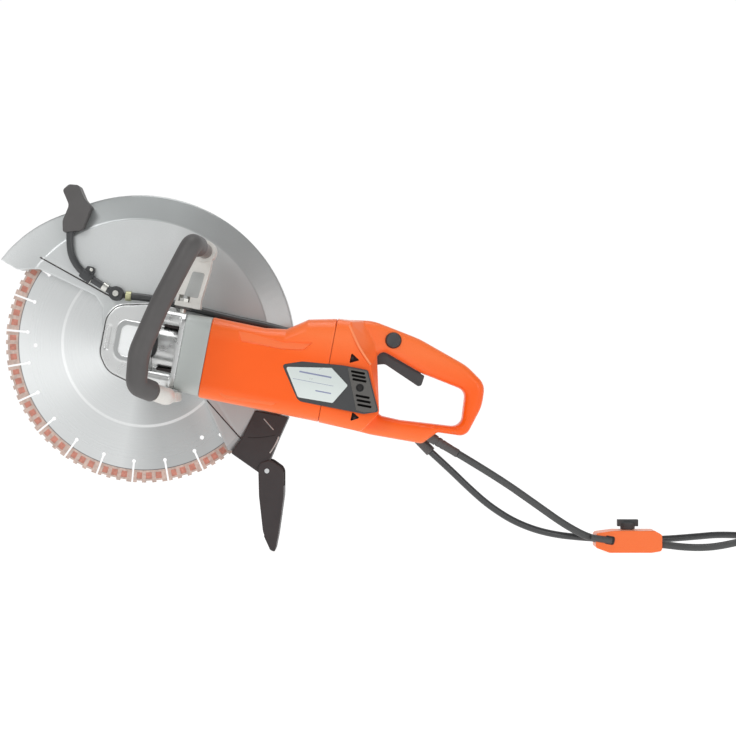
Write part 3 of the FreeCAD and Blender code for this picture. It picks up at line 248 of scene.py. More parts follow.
def smooth_curve(name, points, resolution):
    """Curve data with one smooth spline, which the given points control."""
    data = bpy.data.curves.new(name, "CURVE")
    data.dimensions = "3D"
    data.resolution_u = resolution
    spline = data.splines.new("NURBS")
    spline.points.add(len(points) - 1)
    for entry, point in zip(spline.points, points):
        entry.co = (*point, 1)
    spline.order_u = 3
    spline.use_endpoint_u = True
    spline.use_smooth = True
    return data


def spline_points(points, resolution=10):
    """Points along a smooth curve, which the given points control."""
    guide = new_object("guide", smooth_curve("guide", points, resolution))
    mesh = bpy.data.meshes.new_from_object(guide)
    line = [vertex.co.copy() for vertex in mesh.vertices]
    bpy.data.objects.remove(guide)
    bpy.data.meshes.remove(mesh)
    return line


def sweep(name, line, radius_at, matrix=BLADE, sides=28):
    """Tube along a line, whose radius is a function of the distance along it."""
    mesh = bmesh.new()
    rings = []
    heading = (line[1] - line[0]).normalized()
    side = heading.orthogonal().normalized()
    travelled = 0.0
    for index, point in enumerate(line):
        before = line[max(index - 1, 0)]
        after = line[min(index + 1, len(line) - 1)]
        heading = (after - before).normalized()
        side = (side - heading * side.dot(heading)).normalized()
        across = heading.cross(side)
        travelled += (point - before).length
        rings.append(circle(mesh, point, side, across, radius_at(travelled), sides))
    return closed_form(name, mesh, rings, matrix)


def line_length(line):
    return sum((b - a).length for a, b in zip(line, line[1:]))


# ---- working on forms ----
def settle(piece):
    """Turn a piece's modifiers into its mesh."""
    depsgraph = bpy.context.evaluated_depsgraph_get()
    data = bpy.data.meshes.new_from_object(piece.evaluated_get(depsgraph))
    piece.modifiers.clear()
    piece.data = data


def carve(piece, *cutters, operation="DIFFERENCE"):
    """Cut pieces out of another, or keep only what they share; the cutters go."""
    for cutter in cutters:
        modifier = piece.modifiers.new("carve", "BOOLEAN")
        modifier.operation = operation
        modifier.solver = "EXACT"
        modifier.object = cutter
    settle(piece)
    for cutter in cutters:
        bpy.data.objects.remove(cutter)
    return piece


# Flat faces that lie exactly on the remesh grid come out pitted, so a form is moved off it
# by this part of a voxel.
OFF_GRID = Vector((0.31, 0.37, 0.43))


def blended(piece, voxel, rounds):
    """Remesh evenly and relax, which rounds each edge as moulding does. voxel is in mm."""
    shift = Matrix.Translation(OFF_GRID * voxel * MM)
    piece.data.transform(shift)
    remesh = piece.modifiers.new("remesh", "REMESH")
    remesh.mode = "VOXEL"
    remesh.voxel_size = voxel * MM
    relax = piece.modifiers.new("relax", "SMOOTH")
    relax.factor = 0.5
    relax.iterations = rounds
    settle(piece)
    piece.data.transform(shift.inverted())
    return piece


def joined(name, parts):
    """One object out of several, whose forms overlap."""
    mesh = bmesh.new()
    for part in parts:
        mesh.from_mesh(part.data)
        bpy.data.objects.remove(part)
    return object_of(name, mesh)


def copy_of(node, name):
    """A loose, welded copy of a CAD node's mesh."""
    mesh = bmesh.new()
    mesh.from_mesh(NODES[node].data)
    bmesh.ops.remove_doubles(mesh, verts=mesh.verts, dist=1e-6)
    return object_of(name, mesh)


def half_of(piece, name, side, gap=0.15):
    """The part of a closed form on one side of the saw's middle plane."""
    mesh = bmesh.new()
    mesh.from_mesh(piece.data)
    plane_at = ORIGIN + Vector((0, side * gap * MM, 0))
    everything = list(mesh.verts) + list(mesh.edges) + list(mesh.faces)
    bmesh.ops.bisect_plane(mesh, geom=everything, plane_co=plane_at, plane_no=(0, -side, 0),
                           clear_outer=True)
    rim = [edge for edge in mesh.edges if edge.is_boundary]
    bmesh.ops.triangle_fill(mesh, edges=rim, use_beauty=False)
    return object_of(name, mesh)


# ---- materials ----
def shader(name):
    """New material, its node tree, its shader, and the object coordinates."""
    material = bpy.data.materials.new(name)
    material.use_nodes = True
    tree = material.node_tree
    surface = tree.nodes["Principled BSDF"]
    coordinates = tree.nodes.new("ShaderNodeTexCoord").outputs["Object"]
    return material, tree, surface, coordinates


def set_inputs(node, **values):
    """Constants on a node's sockets; a space in a socket's name is written as _ here."""
    for name, value in values.items():
        node.inputs[name.replace("_", " ")].default_value = value


def noise(tree, vector, scale, detail=3.0, stretch=(1, 1, 1)):
    """Noise of the given scale per metre; stretch squeezes it along an axis."""
    mapping = tree.nodes.new("ShaderNodeMapping")
    set_inputs(mapping, Scale=stretch)
    tree.links.new(vector, mapping.inputs["Vector"])
    texture = tree.nodes.new("ShaderNodeTexNoise")
    set_inputs(texture, Scale=scale, Detail=detail)
    tree.links.new(mapping.outputs["Vector"], texture.inputs["Vector"])
    return texture.outputs["Fac"]


def spread(tree, value, low, high, start=0.3, end=0.7):
    """A number from low to high as value goes from start to end."""
    node = tree.nodes.new("ShaderNodeMapRange")
    set_inputs(node, From_Min=start, From_Max=end, To_Min=low, To_Max=high)
    tree.links.new(value, node.inputs["Value"])
    return node.outputs["Result"]


def mixed(tree, factor, first, second):
    """Colour between two, each a colour or a socket."""
    node = tree.nodes.new("ShaderNodeMix")
    node.data_type = "RGBA"
    tree.links.new(factor, node.inputs["Factor"])
    for socket, colour in ((node.inputs["A"], first), (node.inputs["B"], second)):
        if isinstance(colour, tuple):
            socket.default_value = (*colour, 1)
        else:
            tree.links.new(colour, socket)
    return node.outputs["Result"]


def vector_math(tree, operation, vector, other=None):
    """Result of a vector node on a socket, with a constant as its other input."""
    node = tree.nodes.new("ShaderNodeVectorMath")
    node.operation = operation
    tree.links.new(vector, node.inputs[0])
    if other is not None:
        node.inputs[1].default_value = other
    return node.outputs["Value" if operation in ("DOT_PRODUCT", "LENGTH") else "Vector"]


def bumped(tree, surface, height, depth):
    """Relief of the given depth in metres on the surface's normal."""
    bump = tree.nodes.new("ShaderNodeBump")
    set_inputs(bump, Strength=1.0, Distance=depth)
    tree.links.new(height, bump.inputs["Height"])
    tree.links.new(bump.outputs["Normal"], surface.inputs["Normal"])


def shade(colour, factor):
    return tuple(min(channel * factor, 1.0) for channel in colour)


def plain_finish(name, colour, roughness, metallic=0.0, variation=0.06, grain=0.00002,
                 grain_scale=1400, patch_scale=14, coat=0.0, stretch=(1, 1, 1), specular=0.5):
    """Even finish with large soft patches, fine grain and a slightly uneven gloss."""
    material, tree, surface, vector = shader(name)
    patches = noise(tree, vector, patch_scale, 4.0)
    fine = noise(tree, vector, grain_scale, 2.0, stretch)
    factor = spread(tree, patches, 0.0, 1.0)
    base = mixed(tree, factor, shade(colour, 1 - variation), shade(colour, 1 + variation))
    speckle = spread(tree, fine, 0.0, 0.35)
    tinted = mixed(tree, speckle, base, shade(colour, 1 - 2 * variation))
    tree.links.new(tinted, surface.inputs["Base Color"])
    uneven = spread(tree, noise(tree, vector, patch_scale * 5, 3.0), roughness * 0.85,
                    min(roughness * 1.15, 1.0))
    tree.links.new(uneven, surface.inputs["Roughness"])
    set_inputs(surface, Metallic=metallic, Coat_Weight=coat, Coat_Roughness=0.12,
               Specular_IOR_Level=specular)
    bumped(tree, surface, fine, grain)
    return material


ORANGE = (0.93, 0.112, 0.004)
HIGHLIGHT_ORANGE = (0.92, 0.185, 0.045)
# Places in the materials, in metres. The orange body's painted highlight bands start and end this
# far from the motor axis, and the guard's painted shade towards the rear and painted highlight
# towards the front change this far from the spindle.
HIGHLIGHT_ABOVE = (0.020, 0.050)
HIGHLIGHT_BELOW = (-0.052, -0.034)
GUARD_REAR_SHADE = (0.045, 0.105)
GUARD_FRONT_HIGHLIGHT = (-0.17, -0.08)
ETCHED_RING_R = 0.104
WELD_R = 0.1582
# The blade's dark streak is a painted reflection, and it turns with the blade.
PAINTED_REFLECTION_HEADING = (0.33, 0, -0.944)     # where the blade's dark streak points from the spindle


def orange_nylon():
    """Glossy moulded nylon, with a painted highlight that makes it paler towards the upper and lower
    edges of the body.
    """
    material, tree, surface, vector = shader("orange_nylon")
    upward = Vector((math.sin(TILT), 0, math.cos(TILT)))
    height = vector_math(tree, "DOT_PRODUCT", vector, tuple(upward))
    motor_height = ORIGIN.dot(upward)
    # Painted highlight: towards the top and bottom edges the orange is mixed towards a paler orange.
    above = spread(tree, height, 0.0, 1.0, *[motor_height + offset for offset in HIGHLIGHT_ABOVE])
    below = spread(tree, height, 1.0, 0.0, *[motor_height + offset for offset in HIGHLIGHT_BELOW])
    patches = noise(tree, vector, 14, 4.0)
    fine = noise(tree, vector, 1700, 2.0)
    body = mixed(tree, spread(tree, patches, 0, 1), shade(ORANGE, 0.97), shade(ORANGE, 1.03))
    upper = mixed(tree, above, body, HIGHLIGHT_ORANGE)
    tinted = mixed(tree, below, upper, HIGHLIGHT_ORANGE)
    tree.links.new(mixed(tree, spread(tree, fine, 0, 0.3), tinted, shade(ORANGE, 0.94)),
                   surface.inputs["Base Color"])
    tree.links.new(spread(tree, patches, 0.30, 0.38), surface.inputs["Roughness"])
    set_inputs(surface, Specular_IOR_Level=0.3, Coat_Weight=0.08, Sheen_Weight=0.35,
               Sheen_Roughness=0.35, Sheen_Tint=(1.0, 0.75, 0.6, 1))
    bumped(tree, surface, fine, 0.000012)
    return material


def spindle_offset(tree, vector, centre):
    """Where a point is from an axis along Y through the centre: the offset and its length."""
    offset = vector_math(tree, "SUBTRACT", vector, centre)
    flat = vector_math(tree, "MULTIPLY", offset, (1, 0, 1))
    return flat, vector_math(tree, "LENGTH", flat)


def guard_paint():
    """Silver paint on pressed sheet: a light plate inside a bevelled band, with painted shade that
    darkens the band and darkens plate and band towards the rear, and a painted highlight on the band
    towards the front.
    """
    material, tree, surface, vector = shader("guard_paint")
    centre = tuple(BLADE @ Vector((GUARD_AXIS[0], BLADE_Y, GUARD_AXIS[1])))
    flat, radius = spindle_offset(tree, vector, centre)
    flake = noise(tree, vector, 1500, 2.0)
    patches = noise(tree, vector, 9, 4.0)
    plate_tone = mixed(tree, spread(tree, patches, 0, 1), (0.60, 0.62, 0.62), (0.66, 0.68, 0.68))
    # Painted shade and highlight: the band is darker than the plate, both darken towards the rear,
    # and the band turns light towards the front.
    band = spread(tree, radius, 0.0, 1.0, GUARD_BAND_R, GUARD_BAND_R + 0.0012)
    parts = tree.nodes.new("ShaderNodeSeparateXYZ")
    tree.links.new(flat, parts.inputs[0])
    rear = spread(tree, parts.outputs["X"], 0.0, 1.0, *GUARD_REAR_SHADE)
    shaded = mixed(tree, rear, plate_tone, (0.42, 0.43, 0.43))
    band_shade_tone = mixed(tree, rear, (0.40, 0.42, 0.42), (0.33, 0.34, 0.34))
    front = spread(tree, parts.outputs["X"], 1.0, 0.0, *GUARD_FRONT_HIGHLIGHT)
    toned = mixed(tree, band, shaded, mixed(tree, front, band_shade_tone, (0.86, 0.88, 0.88)))
    dusty = mixed(tree, spread(tree, flake, 0, 0.3), toned, (0.42, 0.44, 0.44))
    tree.links.new(dusty, surface.inputs["Base Color"])
    tree.links.new(spread(tree, patches, 0.30, 0.40), surface.inputs["Roughness"])
    set_inputs(surface, Metallic=0.5, Coat_Weight=0.2, Coat_Roughness=0.15)
    bumped(tree, surface, flake, 0.00001)
    return material


def ground_disc(name, colour, centre):
    """Steel ground in circles about a centre, with an etched ring, fine ground lines and a soft dark
    streak of painted reflection.
    """
    material, tree, surface, vector = shader(name)
    flat, radius = spindle_offset(tree, vector, centre)
    along = tree.nodes.new("ShaderNodeCombineXYZ")
    tree.links.new(radius, along.inputs["X"])
    lines = noise(tree, along.outputs["Vector"], 1500, 5.0)
    # Painted reflection: the disc is darker in the sector that points along the streak's heading.
    heading = vector_math(tree, "NORMALIZE", flat)
    streak = vector_math(tree, "DOT_PRODUCT", heading, PAINTED_REFLECTION_HEADING)
    dark = spread(tree, streak, 0, 1, 0.86, 0.985)
    reflection_tone = mixed(tree, dark, colour, shade(colour, 0.60))
    ground = mixed(tree, spread(tree, lines, 0, 0.4), reflection_tone, shade(colour, 0.6))
    from_ring = tree.nodes.new("ShaderNodeMath")
    from_ring.operation = "SUBTRACT"
    from_ring.inputs[1].default_value = ETCHED_RING_R
    tree.links.new(radius, from_ring.inputs[0])
    distance = tree.nodes.new("ShaderNodeMath")
    distance.operation = "ABSOLUTE"
    tree.links.new(from_ring.outputs["Value"], distance.inputs[0])
    ring = spread(tree, distance.outputs["Value"], 0.6, 0.0, 0.0012, 0.0022)
    etched = mixed(tree, ring, ground, (0.92, 0.93, 0.93))
    weld = spread(tree, radius, 0.0, 0.8, WELD_R, WELD_R + 0.0006)
    etched = mixed(tree, weld, etched, (0.12, 0.11, 0.11))
    tree.links.new(etched, surface.inputs["Base Color"])
    tree.links.new(spread(tree, lines, 0.24, 0.42), surface.inputs["Roughness"])
    set_inputs(surface, Metallic=0.95, Anisotropic=0.75)
    around = tree.nodes.new("ShaderNodeTangent")
    around.direction_type = "RADIAL"
    around.axis = "Y"
    tree.links.new(around.outputs["Tangent"], surface.inputs["Tangent"])
    bumped(tree, surface, lines, 0.000012)
    return material


def sintered(name, colour, grit):
    """Porous sintered matrix with brighter grit in it."""
    material, tree, surface, vector = shader(name)
    cells = tree.nodes.new("ShaderNodeTexVoronoi")
    set_inputs(cells, Scale=900)
    tree.links.new(vector, cells.inputs["Vector"])
    coarse = noise(tree, vector, 260, 4.0)
    base = mixed(tree, spread(tree, coarse, 0, 1), shade(colour, 0.78), shade(colour, 1.1))
    specks = spread(tree, cells.outputs["Distance"], 0.8, 0.0, 0.0, 0.28)
    tree.links.new(mixed(tree, specks, base, grit), surface.inputs["Base Color"])
    set_inputs(surface, Roughness=0.72, Metallic=0.15)
    bumped(tree, surface, coarse, 0.00012)
    return material


LOOKS = {
    "orange_shell": orange_nylon(),
    "grey_paint": plain_finish(
        "collar_paint", (0.46, 0.49, 0.475), 0.42, metallic=0.1, variation=0.03, grain=0.00001,
        grain_scale=900),
    "cast_alloy": plain_finish(
        "cast_alloy", (0.66, 0.67, 0.665), 0.30, metallic=0.88, variation=0.03, grain=0.000004,
        grain_scale=700, patch_scale=25),
    "guard_paint": guard_paint(),
    "black_plastic": plain_finish(
        "dark_nylon", (0.043, 0.045, 0.047), 0.5, variation=0.1, grain=0.00003, grain_scale=1500),
    "deflector_rubber": plain_finish(
        "deflector_rubber", (0.029, 0.023, 0.024), 0.5, variation=0.12, grain=0.00004,
        grain_scale=1200),
    "rubber": plain_finish(
        "grip_rubber", (0.082, 0.078, 0.077), 0.55, variation=0.08, grain=0.00006, grain_scale=1300),
    "cord_jacket": plain_finish(
        "cord_jacket", (0.060, 0.062, 0.062), 0.5, variation=0.1, grain=0.00003, grain_scale=900),
    "hose_rubber": plain_finish(
        "hose_rubber", (0.042, 0.044, 0.046), 0.36, variation=0.1, grain_scale=1200, coat=0.15),
    "blade_steel": ground_disc("ground_steel", (0.76, 0.78, 0.78), tuple(SPIN_AT)),
    "segment_matrix": sintered("segment_matrix", (0.60, 0.46, 0.40), (0.76, 0.70, 0.65)),
    "machined_steel": plain_finish(
        "machined_steel", (0.62, 0.63, 0.64), 0.28, metallic=1.0, variation=0.08,
        stretch=(1, 12, 1)),
    "zinc_screws": plain_finish(
        "zinc_plate", (0.70, 0.70, 0.66), 0.3, metallic=1.0, variation=0.12,
        patch_scale=220),
    "lamination": plain_finish(
        "lamination", (0.17, 0.17, 0.18), 0.5, metallic=0.6, grain=0.0001, grain_scale=900,
        stretch=(4, 0.2, 0.2)),
    "copper": plain_finish(
        "varnished_copper", (0.58, 0.24, 0.10), 0.35, metallic=0.9, variation=0.15, grain=0.0002,
        grain_scale=600, stretch=(0.3, 3, 3)),
    "brass_fitting": plain_finish(
        "turned_brass", (0.72, 0.53, 0.24), 0.28, metallic=1.0, variation=0.1),
    "plate_face": plain_finish(
        "blank_plate", (0.68, 0.74, 0.72), 0.32, metallic=0.25, variation=0.03, grain=0.000006,
        coat=0.3),
}
# Looks of single details, whose material slot keeps its own look elsewhere.
PIT_LOOK = sintered("segment_pit", (0.60, 0.25, 0.19), (0.68, 0.42, 0.34))
PRINT_LOOK = plain_finish("plate_print", (0.24, 0.27, 0.42), 0.4, variation=0.15)
BRACKET_LOOK = plain_finish(
    "bracket_alloy", (0.66, 0.645, 0.61), 0.42, metallic=0.2, variation=0.06, grain=0.000003,
    grain_scale=700, patch_scale=40)
BROWNED_LOOK = plain_finish("browned_tube", (0.13, 0.10, 0.09), 0.35, metallic=0.5, variation=0.1)
# Blacked steel of the screws; the same dark look is painted shade on the neck gaps and along the
# guard's folds.
BLACKED_STEEL_AND_SHADE_LOOK = plain_finish("blacked_steel_and_shade", (0.06, 0.05, 0.05), 0.4, metallic=0.7)
# Painted shade: a grey ring that stands for the shade in the groove round the bearing ring.
GROOVE_SHADE_LOOK = plain_finish("groove_shade_grey", (0.40, 0.41, 0.41), 0.4, metallic=0.7)
BRIGHT_LOOK = plain_finish("bright_pad", (0.86, 0.88, 0.88), 0.4, metallic=0.3, variation=0.02)
ARM_LOOK = plain_finish("arm_web", (0.40, 0.41, 0.40), 0.4, metallic=0.5, variation=0.05)
# Painted highlight: a paler orange for the bead along the handle block's ridge.
RIDGE_HIGHLIGHT_LOOK = plain_finish("ridge_highlight_orange", (0.93, 0.25, 0.09), 0.36, variation=0.03, coat=0.1)
STRIP_LOOK = plain_finish("strip_orange", (0.92, 0.165, 0.032), 0.36, variation=0.03, coat=0.1)
# Painted highlight: light grey lines along the deflector's edges.
EDGE_HIGHLIGHT_LOOK = plain_finish("edge_highlight_grey", (0.42, 0.42, 0.41), 0.5, variation=0.2)
CLIP_LOOK = plain_finish("olive_clip", (0.50, 0.50, 0.30), 0.35, metallic=0.6, variation=0.1)
PANEL_LOOK = plain_finish(
    "grille_panel", (0.092, 0.088, 0.082), 0.5, variation=0.1, grain=0.00003, grain_scale=1500)
DARK_LOOK = plain_finish("shadow_grey", (0.018, 0.017, 0.017), 0.8, variation=0.1)


def finish(piece, body, slot, *stands_for, angle=38, look=None):
    """Give a piece its look and its body, and hide the CAD nodes that it stands for."""
    piece.data.materials.clear()
    piece.data.materials.append(look or LOOKS[slot])
    piece.data.shade_smooth()
    piece.data.set_sharp_from_angle(angle=math.radians(angle))
    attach(piece, body)
    if stands_for:
        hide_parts(*stands_for)
    return piece


def relook(look, *nodes):
    """Give CAD nodes that are shown as they are another look."""
    for node in nodes:
        NODES[node].data.materials[0] = look


def moulded(node, voxel, rounds, carved=()):
    """A CAD node's own form with its edges rounded as they come from the mould."""
    piece = blended(copy_of(node, node + "_form"), voxel, rounds)
    if carved:
        carve(piece, *carved)
    return finish(piece, NODES[node]["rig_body"], SLOTS[node], node)


# ---- camera and cords ----
VIEW_CENTRE = (279.75, -31.0)      # where the camera looks, in the BLADE frame
VIEW_DISTANCE = 2400.0             # from the blade's plane
SENSOR_WIDTH = 36.0
FOCAL_LENGTH = 93.4


def make_camera():
    data = bpy.data.cameras.new("camera")
    data.sensor_width = SENSOR_WIDTH
    data.lens = FOCAL_LENGTH
    camera = new_object("camera", data)
    camera.location = BLADE @ Vector((VIEW_CENTRE[0], BLADE_Y - VIEW_DISTANCE, VIEW_CENTRE[1]))
    camera.rotation_euler = (math.pi / 2, 0, 0)
    bpy.context.scene.camera = camera


POWER_ROUTE = [(389, -3, -135.2), (437, 4, -164), (484, 16, -197), (526, 29, -227),
               (561, 38, -244.5), (600, 38, -245.5), (642, 38, -249.5), (680, 33, -253.6),
               (716, 26, -251), (748, 22, -242)]
HOSE_ROUTE = [(356.5, 7, -133.5), (380, 11, -155), (404, 15, -178.5), (430, 22, -201.5),
              (464, 31, -223), (504, 42, -237), (552, 52, -243), (602, 52, -245),
              (645, 57, -245), (690, 71, -243), (724, 83, -241), (748, 92, -243)]


def free_cord(name, route, radius, slot, node):
    """A cord as one smooth curve along its route."""
    data = smooth_curve(name, [BLADE @ Vector(point) for point in route], 12)
    data.bevel_depth = radius * MM
    data.bevel_resolution = 6
    data.use_fill_caps = True
    data.materials.append(LOOKS[slot])
    cord = new_object(name, data)
    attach(cord, "saw_body")
    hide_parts(node)
    return cord


# Details of the cord clip: name, radius, start, end, edge, slot, look.
CLIP_DETAILS = [
    ("clip_mouth", 6.4, (572, 31.5, -242.5), (584, 31.5, -244.5), 2.5, "black_plastic", DARK_LOOK),
    ("clip_channel", 4.2, (555, 29, -240.2), (581, 28, -244.2), 1.5, "cord_jacket", None),
    ("clip_rib", 2.4, (601, 38, -234.5), (622, 38, -237), 1.0, "orange_shell", None)]


def make_cords():
    clip = moulded("cord_clip", 0.5, 5)
    plug = moulded("power_plug", 0.5, 3)
    reliefs = moulded("strain_reliefs", 0.35, 2)
    power = free_cord("power_cord_line", POWER_ROUTE, CORD_R, "cord_jacket", "power_cord")
    hose = free_cord("water_hose_line", HOSE_ROUTE, HOSE_R, "hose_rubber", "water_hose")
    tuple(BLADE @ Vector(POWER_ROUTE[0]))
    tuple(BLADE @ Vector(HOSE_ROUTE[0]))
    moulded("tap_knob", 0.4, 3)
    for name, radius, start, end, edge, slot, look in CLIP_DETAILS:
        detail = rod(name, radius, start, end, BLADE, edge)
        finish(detail, "saw_body", slot, look=look)


# ---- orange shells ----
# Outlines are (x, z, corner radius) in the BODY frame. Y distances are from the middle plane.
SIDES = ((-1, "left"), (1, "right"))
SEAM_X = 234.0         # where the motor housing meets the handle shells
HANDLE_HALF_W = 20.0
COVER_BACK_Y = 46.9    # what the side covers and the strips lie on
POCKET_FLOOR_Y = 38.0
GRILLE_FLOOR_Y = 32.0
LINING_Y = (32.5, 40)
TRIGGER_SLOT_Y = 8.2
OUTSIDE_Y = 60.0       # beyond the shells, for cutters
SHARP = 0.01           # edge radius of a cutter's rims
COVER_OUTLINE = [(179, 7, 3), (202, 15, 12), (251, 19.5, 8), (281, 19.5, 3), (303, -27, 3),
                 (286, -33, 5), (206, -32.5, 10)]
PLATE_OUTLINE = [(184, 5, 2), (238, 14, 2), (261, -3, 2), (247, -27, 2), (205, -28, 4)]
UPPER_STRIP = [(114, 52, 2), (125, 25, 2), (174, 24.5, 3), (201, 28.5, 2), (211, 40, 1),
               (176, 34, 4), (140, 36, 4), (128, 52, 3)]
UPPER_STRIP_FACE = [(120.5, 36, 0.5), (125, 25, 2), (174, 24.5, 3), (201, 28.5, 2), (208, 37, 1),
                    (176, 34, 4), (140, 36, 4), (136, 36.5, 0.5)]
LOWER_STRIP = [(108, -38, 1), (120, -41.5, 3), (184, -38.5, 1), (176, -43.5, 3), (118, -46, 3)]
LOOP_OUTLINE = [(SEAM_X, -53, 0), (SEAM_X, 73, 0), (276, 79.5, 60), (335, 68.5, 120),
                (398, 47, 60), (424, 29, 20), (425, 2, 50), (413, -37.5, 13), (378, -39, 3),
                (362, -56, 7), (300, -57, 90)]
HAND_GAP = [(283, 20, 12), (292, 46.5, 8), (345, 28, 60), (402, 17, 11), (405, -27.5, 12),
            (330, -33, 60), (304, -32, 8)]
BLOCK_OUTLINE = [(SEAM_X - 12, -53, 0), (SEAM_X - 12, 71, 0), (248, 72, 3), (268, 41, 8),
                 (283, 25, 6), (304, -28, 4), (286, -55, 6)]
FLANK_OUTLINE = [(SEAM_X - 12, -53, 0), (SEAM_X - 12, 73, 0), (264, 76, 3), (284, 52, 8),
                 (289, 37, 6), (304, -28, 4), (286, -55, 6)]
# The block reaches further up and back in its middle: each Y plane and the outline in it.
BLOCK_SECTIONS = [(-49.5, BLOCK_OUTLINE), (-46, BLOCK_OUTLINE), (-19, FLANK_OUTLINE),
                  (19, FLANK_OUTLINE), (46, BLOCK_OUTLINE), (49.5, BLOCK_OUTLINE)]
TRIGGER_SLOT = [(279, 20, 0), (279, 52, 0), (283, 61, 3), (299, 61, 3), (312, 43.5, 2),
                (358, 36, 3), (358, 10, 0), (300, 20, 0)]
SCREW_POCKETS = [[(258, 36, 1), (257.5, 23.5, 1), (269, 29, 1)],
                 [(272, -33, 1), (271.5, -44.5, 1), (282, -38.5, 1)]]
GRILLE_ROOM = [(259, -27.5, 2), (259, 17, 2), (279.5, 17, 2), (296.5, -27.5, 2)]
PANEL_OUTLINE = [(256.5, 18, 1), (280, 18, 3), (301, -27, 3), (286, -31, 4), (276, -30, 1)]
DIMPLE_AT = (275.5, -3.0)
RIDGE_LINE = [(249, 44.6, 68), (258, 47.6, 55), (269, 48.0, 40), (283, 45.6, 26.5)]
LOCK_AT = (304.5, 60.5)
LOCK_R = 9.4
LOCK_BASE_Y = -13.1
LOCK_STROKE = 4.0
# Sections across the housing: place along the motor, half width, bottom, top, corner radius.
HOUSING_STATIONS = [(87.1, 49.2, -50.2, 46.2, 16), (88, 50, -51, 47, 17), (150, 50, -51.5, 46, 17),
                    (176, 50, -52, 49.5, 17), (200, 50, -52.5, 66, 18), (232.8, 49, -53, 73, 19),
                    (233.8, 48.2, -52.2, 72.2, 18)]
MOTOR_ROOM_R = 42.6
MOTOR_ROOM_END_X = 212
REAR_ROOM = [(MOTOR_ROOM_END_X, -46, 4), (MOTOR_ROOM_END_X, 62, 4), (240, 62, 4), (240, -46, 4)]
HOSE_ENTRY = ((184, 40.8, 13), (215, 36.8, 9))      # in the BLADE frame


def span(side, near, far):
    """The two Y planes at these distances on one side of the saw, lower first."""
    return sorted((side * near, side * far))


def cover_cutters():
    """Room for both side covers, which sit a little way into it."""
    return [plate("cutter", COVER_OUTLINE, *span(side, COVER_BACK_Y - 0.1, OUTSIDE_Y), SHARP)
            for side, _ in SIDES]


def make_motor_housing():
    shell = loft("motor_housing_form", [section(*station) for station in HOUSING_STATIONS])
    strips = []
    for side, _ in SIDES:
        for corners in (UPPER_STRIP, LOWER_STRIP):
            strips.append(plate("cutter", corners, *span(side, 48.0, OUTSIDE_Y), 0.05))
    carve(shell, *strips)
    blended(shell, 0.8, 3)
    motor_room = rod("cutter", MOTOR_ROOM_R, (80, 0, 0), (MOTOR_ROOM_END_X, 0, 0))
    rear_room = plate("cutter", REAR_ROOM, -42, 42, 3)
    ends = [tuple(BODY.inverted() @ (BLADE @ Vector(point))) for point in HOSE_ENTRY]
    hose_room = rod("cutter", 5.4, *ends)
    carve(shell, *cover_cutters(), motor_room, rear_room, hose_room)
    finish(shell, "saw_body", "orange_shell", "motor_housing")
    for side, word in SIDES:
        for name, corners in (("upper_strip", UPPER_STRIP_FACE), ("lower_strip", LOWER_STRIP)):
            face = plate(name + "_" + word, corners, *span(side, COVER_BACK_Y, 48.25), 0.2)
            finish(face, "saw_body", "orange_shell", look=STRIP_LOOK)


def make_rear_handle():
    loop = plate("loop", LOOP_OUTLINE, -HANDLE_HALF_W, HANDLE_HALF_W, 9.0, holes=[HAND_GAP])
    sections = [[(point.x, y, point.y) for point in outline(corners)]
                for y, corners in BLOCK_SECTIONS]
    block = loft("block", sections)
    envelope = loft("envelope", [section(SEAM_X - 20, 49.3, -52, 74, 19),
                                 section(310, 44, -59, 80, 15)])
    carve(block, envelope, operation="INTERSECT")
    whole = blended(joined("handle", [loop, block]), 0.9, 7)
    before_seam = [(200, -80, 0), (200, 90, 0), (SEAM_X + 0.3, 90, 0), (SEAM_X + 0.3, -80, 0)]
    cutters = cover_cutters()
    cutters.append(plate("cutter", before_seam, -OUTSIDE_Y, OUTSIDE_Y, SHARP))
    cutters.append(plate("cutter", TRIGGER_SLOT, -TRIGGER_SLOT_Y, TRIGGER_SLOT_Y, SHARP))
    for side, _ in SIDES:
        for corners in SCREW_POCKETS:
            cutters.append(plate("cutter", corners, *span(side, POCKET_FLOOR_Y, OUTSIDE_Y),
                                 SHARP))
        cutters.append(plate("cutter", GRILLE_ROOM, *span(side, GRILLE_FLOOR_Y, OUTSIDE_Y),
                             SHARP))
        for corners in (*SCREW_POCKETS, GRILLE_ROOM):
            rounded = [(x, z, 1) for x, z, _ in corners]
            lining = plate("shadow_lining", rounded, *span(side, *LINING_Y), 0.3)
            finish(lining, "saw_body", "black_plastic", look=DARK_LOOK)
    pressed_y = LOCK_BASE_Y + LOCK_STROKE
    cutters.append(rod("cutter", LOCK_R + 0.5, (LOCK_AT[0], -30, LOCK_AT[1]),
                       (LOCK_AT[0], pressed_y + 0.5, LOCK_AT[1])))
    carve(whole, *cutters)
    for side, word in SIDES:
        shell = half_of(whole, "handle_shell_" + word + "_form", side)
        finish(shell, "saw_body", "orange_shell", "handle_shell_" + word)
        # A pale bead along the block's ridge, its paler orange a painted highlight.
        line = spline_points([(x, side * y, z) for x, y, z in RIDGE_LINE], 8)
        ridge = sweep("block_ridge_highlight_" + word, line, lambda travelled: 1.5, BODY, 10)
        finish(ridge, "saw_body", "orange_shell", look=RIDGE_HIGHLIGHT_LOOK)
    bpy.data.objects.remove(whole)


